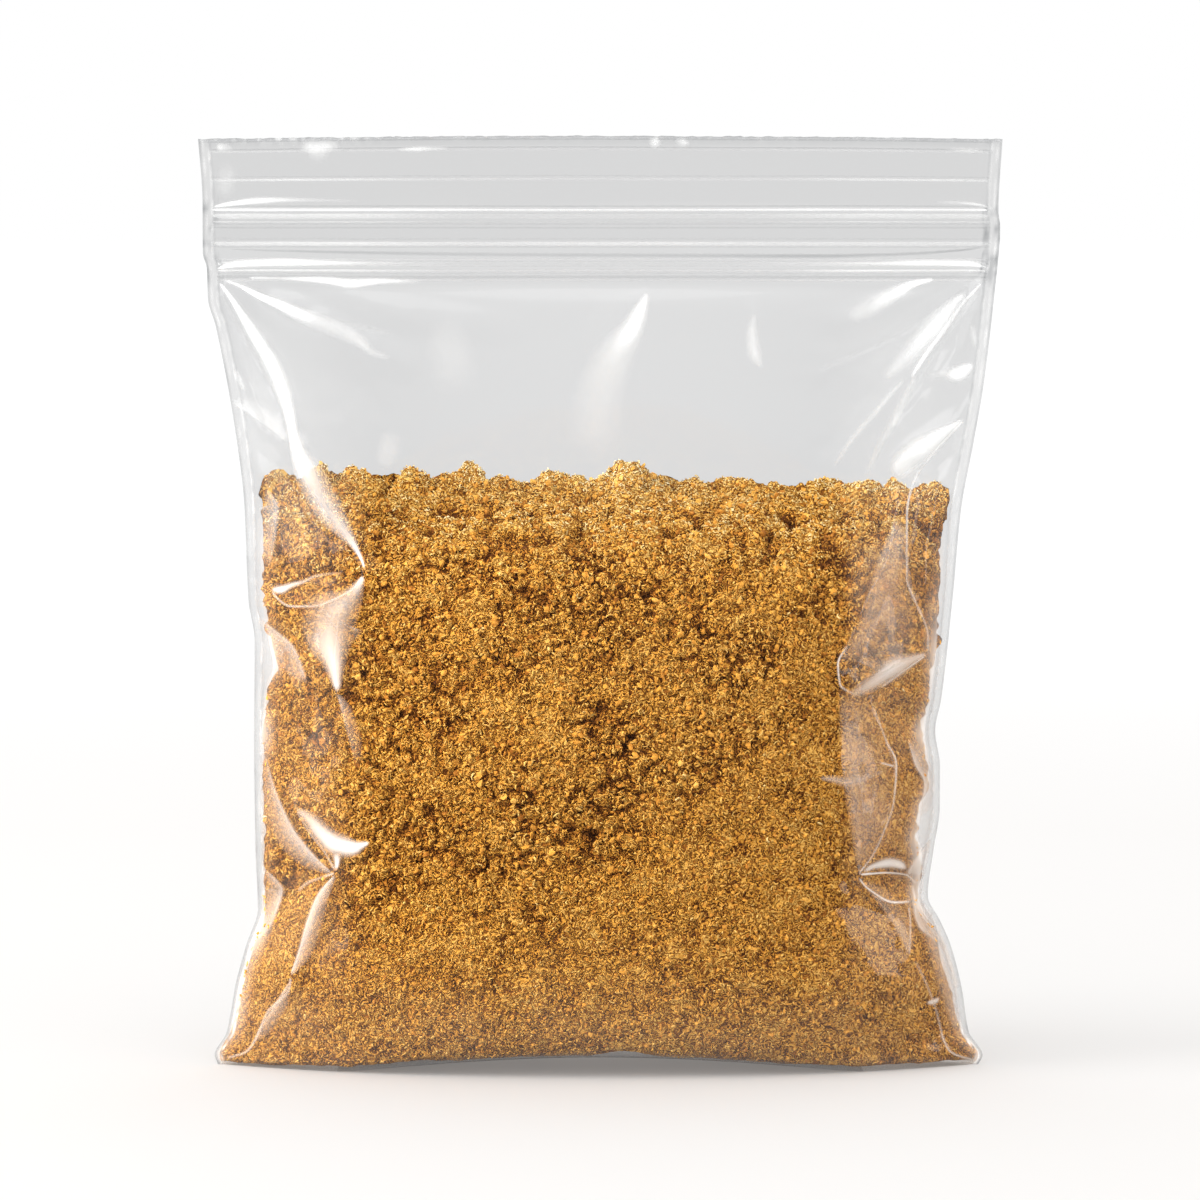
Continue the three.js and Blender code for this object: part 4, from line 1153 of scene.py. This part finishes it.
# ---- stage ----
def stage_floor():
    """A large table of white acrylic, lit a little from below. Far out it gives way to plain white, so
    that it has no horizon. It isn't seen in the film's gloss, where it would lay a veil over the
    pouch's lower half."""
    bm = bmesh.new()
    bmesh.ops.create_grid(bm, x_segments=1, y_segments=1, size=30)
    material, tree = blank("white_floor")
    spot = node(tree, "TexCoord").outputs["Object"]
    away = node(tree, "VectorMath", {"operation": "LENGTH"}, _0=spot)
    far = node(tree, "MapRange", Value=away.outputs["Value"], From_Min=0.5, From_Max=1.3)
    top = node(tree, "BsdfDiffuse", Color=(0.73, 0.72, 0.71, 1))
    below = node(tree, "Emission", Color=(1, 0.99, 0.98, 1), Strength=0.18)
    table = node(tree, "AddShader", _0=top, _1=below)
    glow = node(tree, "Emission", Color=(1, 1, 1, 1), Strength=1.05)
    mix = node(tree, "MixShader", _0=far, _1=table, _2=glow)
    node(tree, "OutputMaterial", Surface=mix)
    floor = object_from(bm, "floor", material)
    floor.visible_glossy = False


# (height from straight down to straight up, brightness) of what the film's gloss mirrors
MIRRORED_GREYS = ((0.1, 0.8), (0.36, 0.05), (0.7, 0.05), (0.95, 1.2))
LAMP_DISTANCE, POUCH_MIDDLE = 1.4, 0.1  # metres
# (name, azimuth, elevation, width and height in metres, watts, what it shows as, and whether it
# lights the pouch alone) of each area light. Azimuth 0 is the front.
LAMPS = (
    ("from_left", -72, 28, 0.6, 0.9, 6, "light", False),
    ("key", -30, 50, 0.8, 0.8, 22, "light", True),
    ("front_fill", 12, 12, 1.2, 0.9, 9, "light", True),
    ("left_fill", -66, 12, 0.5, 0.9, 42, "light", True),
    ("from_right", 76, 25, 0.6, 0.9, 20, "light", True),
    ("left_strip", -62, 20, 0.4, 1.3, 2.5, "gloss", False),
    ("right_strip", 62, 20, 0.4, 1.3, 3, "gloss", False),
    ("overhead_strip", 0, 62, 1.6, 0.6, 3, "gloss", False),
)


def studio_light():
    """White to the eye all round, and even soft light. What the film's gloss mirrors is dark in
    front and brighter overhead and towards the ground."""
    world = bpy.data.worlds.new("studio")
    bpy.context.scene.world = world
    world.use_nodes = True
    tree = world.node_tree
    tree.nodes.clear()
    up = node(tree, "SeparateXYZ", _0=node(tree, "TexCoord").outputs["Generated"]).outputs["Z"]
    height = node(tree, "MapRange", Value=up, From_Min=-1.0, From_Max=1.0)
    greys = [(place, (grey, grey, grey, 1)) for place, grey in MIRRORED_GREYS]
    ramp = node(tree, "ValToRGB", stops=greys, Fac=height)
    mirrored = node(tree, "Background", Color=ramp, Strength=1.0)
    light = node(tree, "Background", Color=(1, 1, 1, 1), Strength=1.02)
    sight = node(tree, "Background", Color=(1, 1, 1, 1), Strength=1.0)
    path = node(tree, "LightPath")
    mix = node(tree, "MixShader", _0=path.outputs["Is Glossy Ray"], _1=light, _2=mirrored)
    mix = node(tree, "MixShader", _0=path.outputs["Is Camera Ray"], _1=mix, _2=sight)
    node(tree, "OutputWorld", Surface=mix)
    bpy.context.scene.view_settings.view_transform = "Standard"


def soft_box(name, azimuth, elevation, width, height, power, shows_as, lights_only):
    """An area light that looks at the pouch. It shows_as light on matt things, or as a gloss in the
    film. It lights_only what a collection holds, which leaves the floor to the even light, or all."""
    lamp = bpy.data.lights.new(name, "AREA")
    lamp.shape, lamp.size, lamp.size_y, lamp.energy = "RECTANGLE", width, height, power
    light = bpy.data.objects.new(name, lamp)
    a, e = math.radians(azimuth), math.radians(elevation)
    light.location = (
        LAMP_DISTANCE * math.sin(a) * math.cos(e),
        -LAMP_DISTANCE * math.cos(a) * math.cos(e),
        POUCH_MIDDLE + LAMP_DISTANCE * math.sin(e),
    )
    light.rotation_euler = (math.pi / 2 - e, 0, a)
    light.visible_glossy = shows_as == "gloss"
    light.visible_diffuse = shows_as == "light"
    if lights_only:
        light.light_linking.receiver_collection = lights_only
    bpy.context.scene.collection.objects.link(light)


SENSOR_WIDTH = 36  # millimetres, as Blender's cameras start out


def camera():
    """A long lens a little above the middle of the pouch. The frame is 267 mm wide there."""
    distance, tilt, span, middle = 1.25, math.radians(4.0), 0.267, 0.1041
    lens = bpy.data.cameras.new("camera")
    lens.lens = SENSOR_WIDTH * distance / span
    view = bpy.data.objects.new("camera", lens)
    view.location = (0.0, -distance * math.cos(tilt), middle + distance * math.sin(tilt))
    view.rotation_euler = (math.pi / 2 - tilt, 0, 0)
    bpy.context.scene.collection.objects.link(view)
    bpy.context.scene.camera = view


# Light has to pass two sheets of film, and the painted highlight ribbons, tracks and welds between them.
cycles = bpy.context.scene.cycles
cycles.max_bounces, cycles.diffuse_bounces, cycles.glossy_bounces = 5, 3, 2
cycles.transparent_max_bounces = 16
camera()
studio_light()
stage_floor()
pouch_only = bpy.data.collections.new("pouch_pieces")
for *lamp, alone in LAMPS:
    soft_box(*lamp, pouch_only if alone else None)

# The sheets are blown film, clear with a sharp gloss. The tracks are ribs of the same plastic that
# are clearer seen straight on and greyer seen edge on, and the ribbons are film with white highlights
# painted in as haze.
film_ldpe = polyethylene_film(
    "clear_ldpe_film_glossy", clear="f3f3f3", dense="b4b6b8", edge_tint=0.22, gloss=0.04,
    edge_gloss=0.4, edge_power=4.0, cloud=0.6
)
track_ldpe = polyethylene_film(
    "clear_ldpe_tracks_glossy", clear="ffffff", dense="d0d1d2", edge_tint=0.3, gloss=0.015,
    edge_gloss=0.2, edge_power=2.5, cloud=0.5
)
highlight_ldpe = polyethylene_film(
    "ldpe_painted_highlight_hazy", clear="ffffff", dense="d0d1d2", edge_tint=0.0, gloss=0.0,
    edge_gloss=0.0, edge_power=2.5, cloud=0.6
)
film = sheets_closed_round(
    "film", FILM_COLUMNS, FILM_ROWS, film_place,
    {"haze_and_highlight": film_haze_and_painted_veil, "thick": film_density, "dust": film_dust_and_warm_light}, film_ldpe
)
tracks = closure_tracks(track_ldpe)
painted_highlights = film_painted_highlights(highlight_ldpe)
core = sheets_closed_round(
    "cumin_core", CORE_COLUMNS, CORE_ROWS, cumin_place, {"painted_shade": cumin_painted_shade}, cumin_core_material()
)
husk = cumin_loose_material("cumin_husk_toasted_matte", shift=0.05, roughness=0.55)
seed = cumin_loose_material("cumin_seed_crushed_matte", shift=-0.05, roughness=0.7)
# Each kind has its count, the seed of its draws, its size in millimetres, for flakes their curl and
# rings, and the least and most that it stands off the surface. Husk is paler than crushed seed.
loose = [
    crumbs("cumin_crumbs", 6500, 41, 1.0, (-0.1, 0.2), seed),
    flakes("cumin_curls", 10800, 31, (1.7, 0.5, 0.26), (110, 260), 3, (-0.05, 0.45), husk),
    flakes("cumin_husks", 15800, 35, (1.3, 0.5, 0.24), (60, 170), 2, (-0.05, 0.42), husk),
    flakes("cumin_shreds", 25000, 33, (1.1, 0.42, 0.24), (60, 150), 1, (-0.1, 0.36), husk),
    flakes("cumin_bits", 17000, 37, (0.8, 0.4, 0.3), (30, 120), 1, (-0.05, 0.25), seed),
]
for slot, pieces in (("film", (film, painted_highlights, tracks)), ("cumin", (core, *loose))):
    for piece in pieces:
        pouch_only.objects.link(piece)
        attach(piece, "root")
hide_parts("pouch")
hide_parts("pouch")
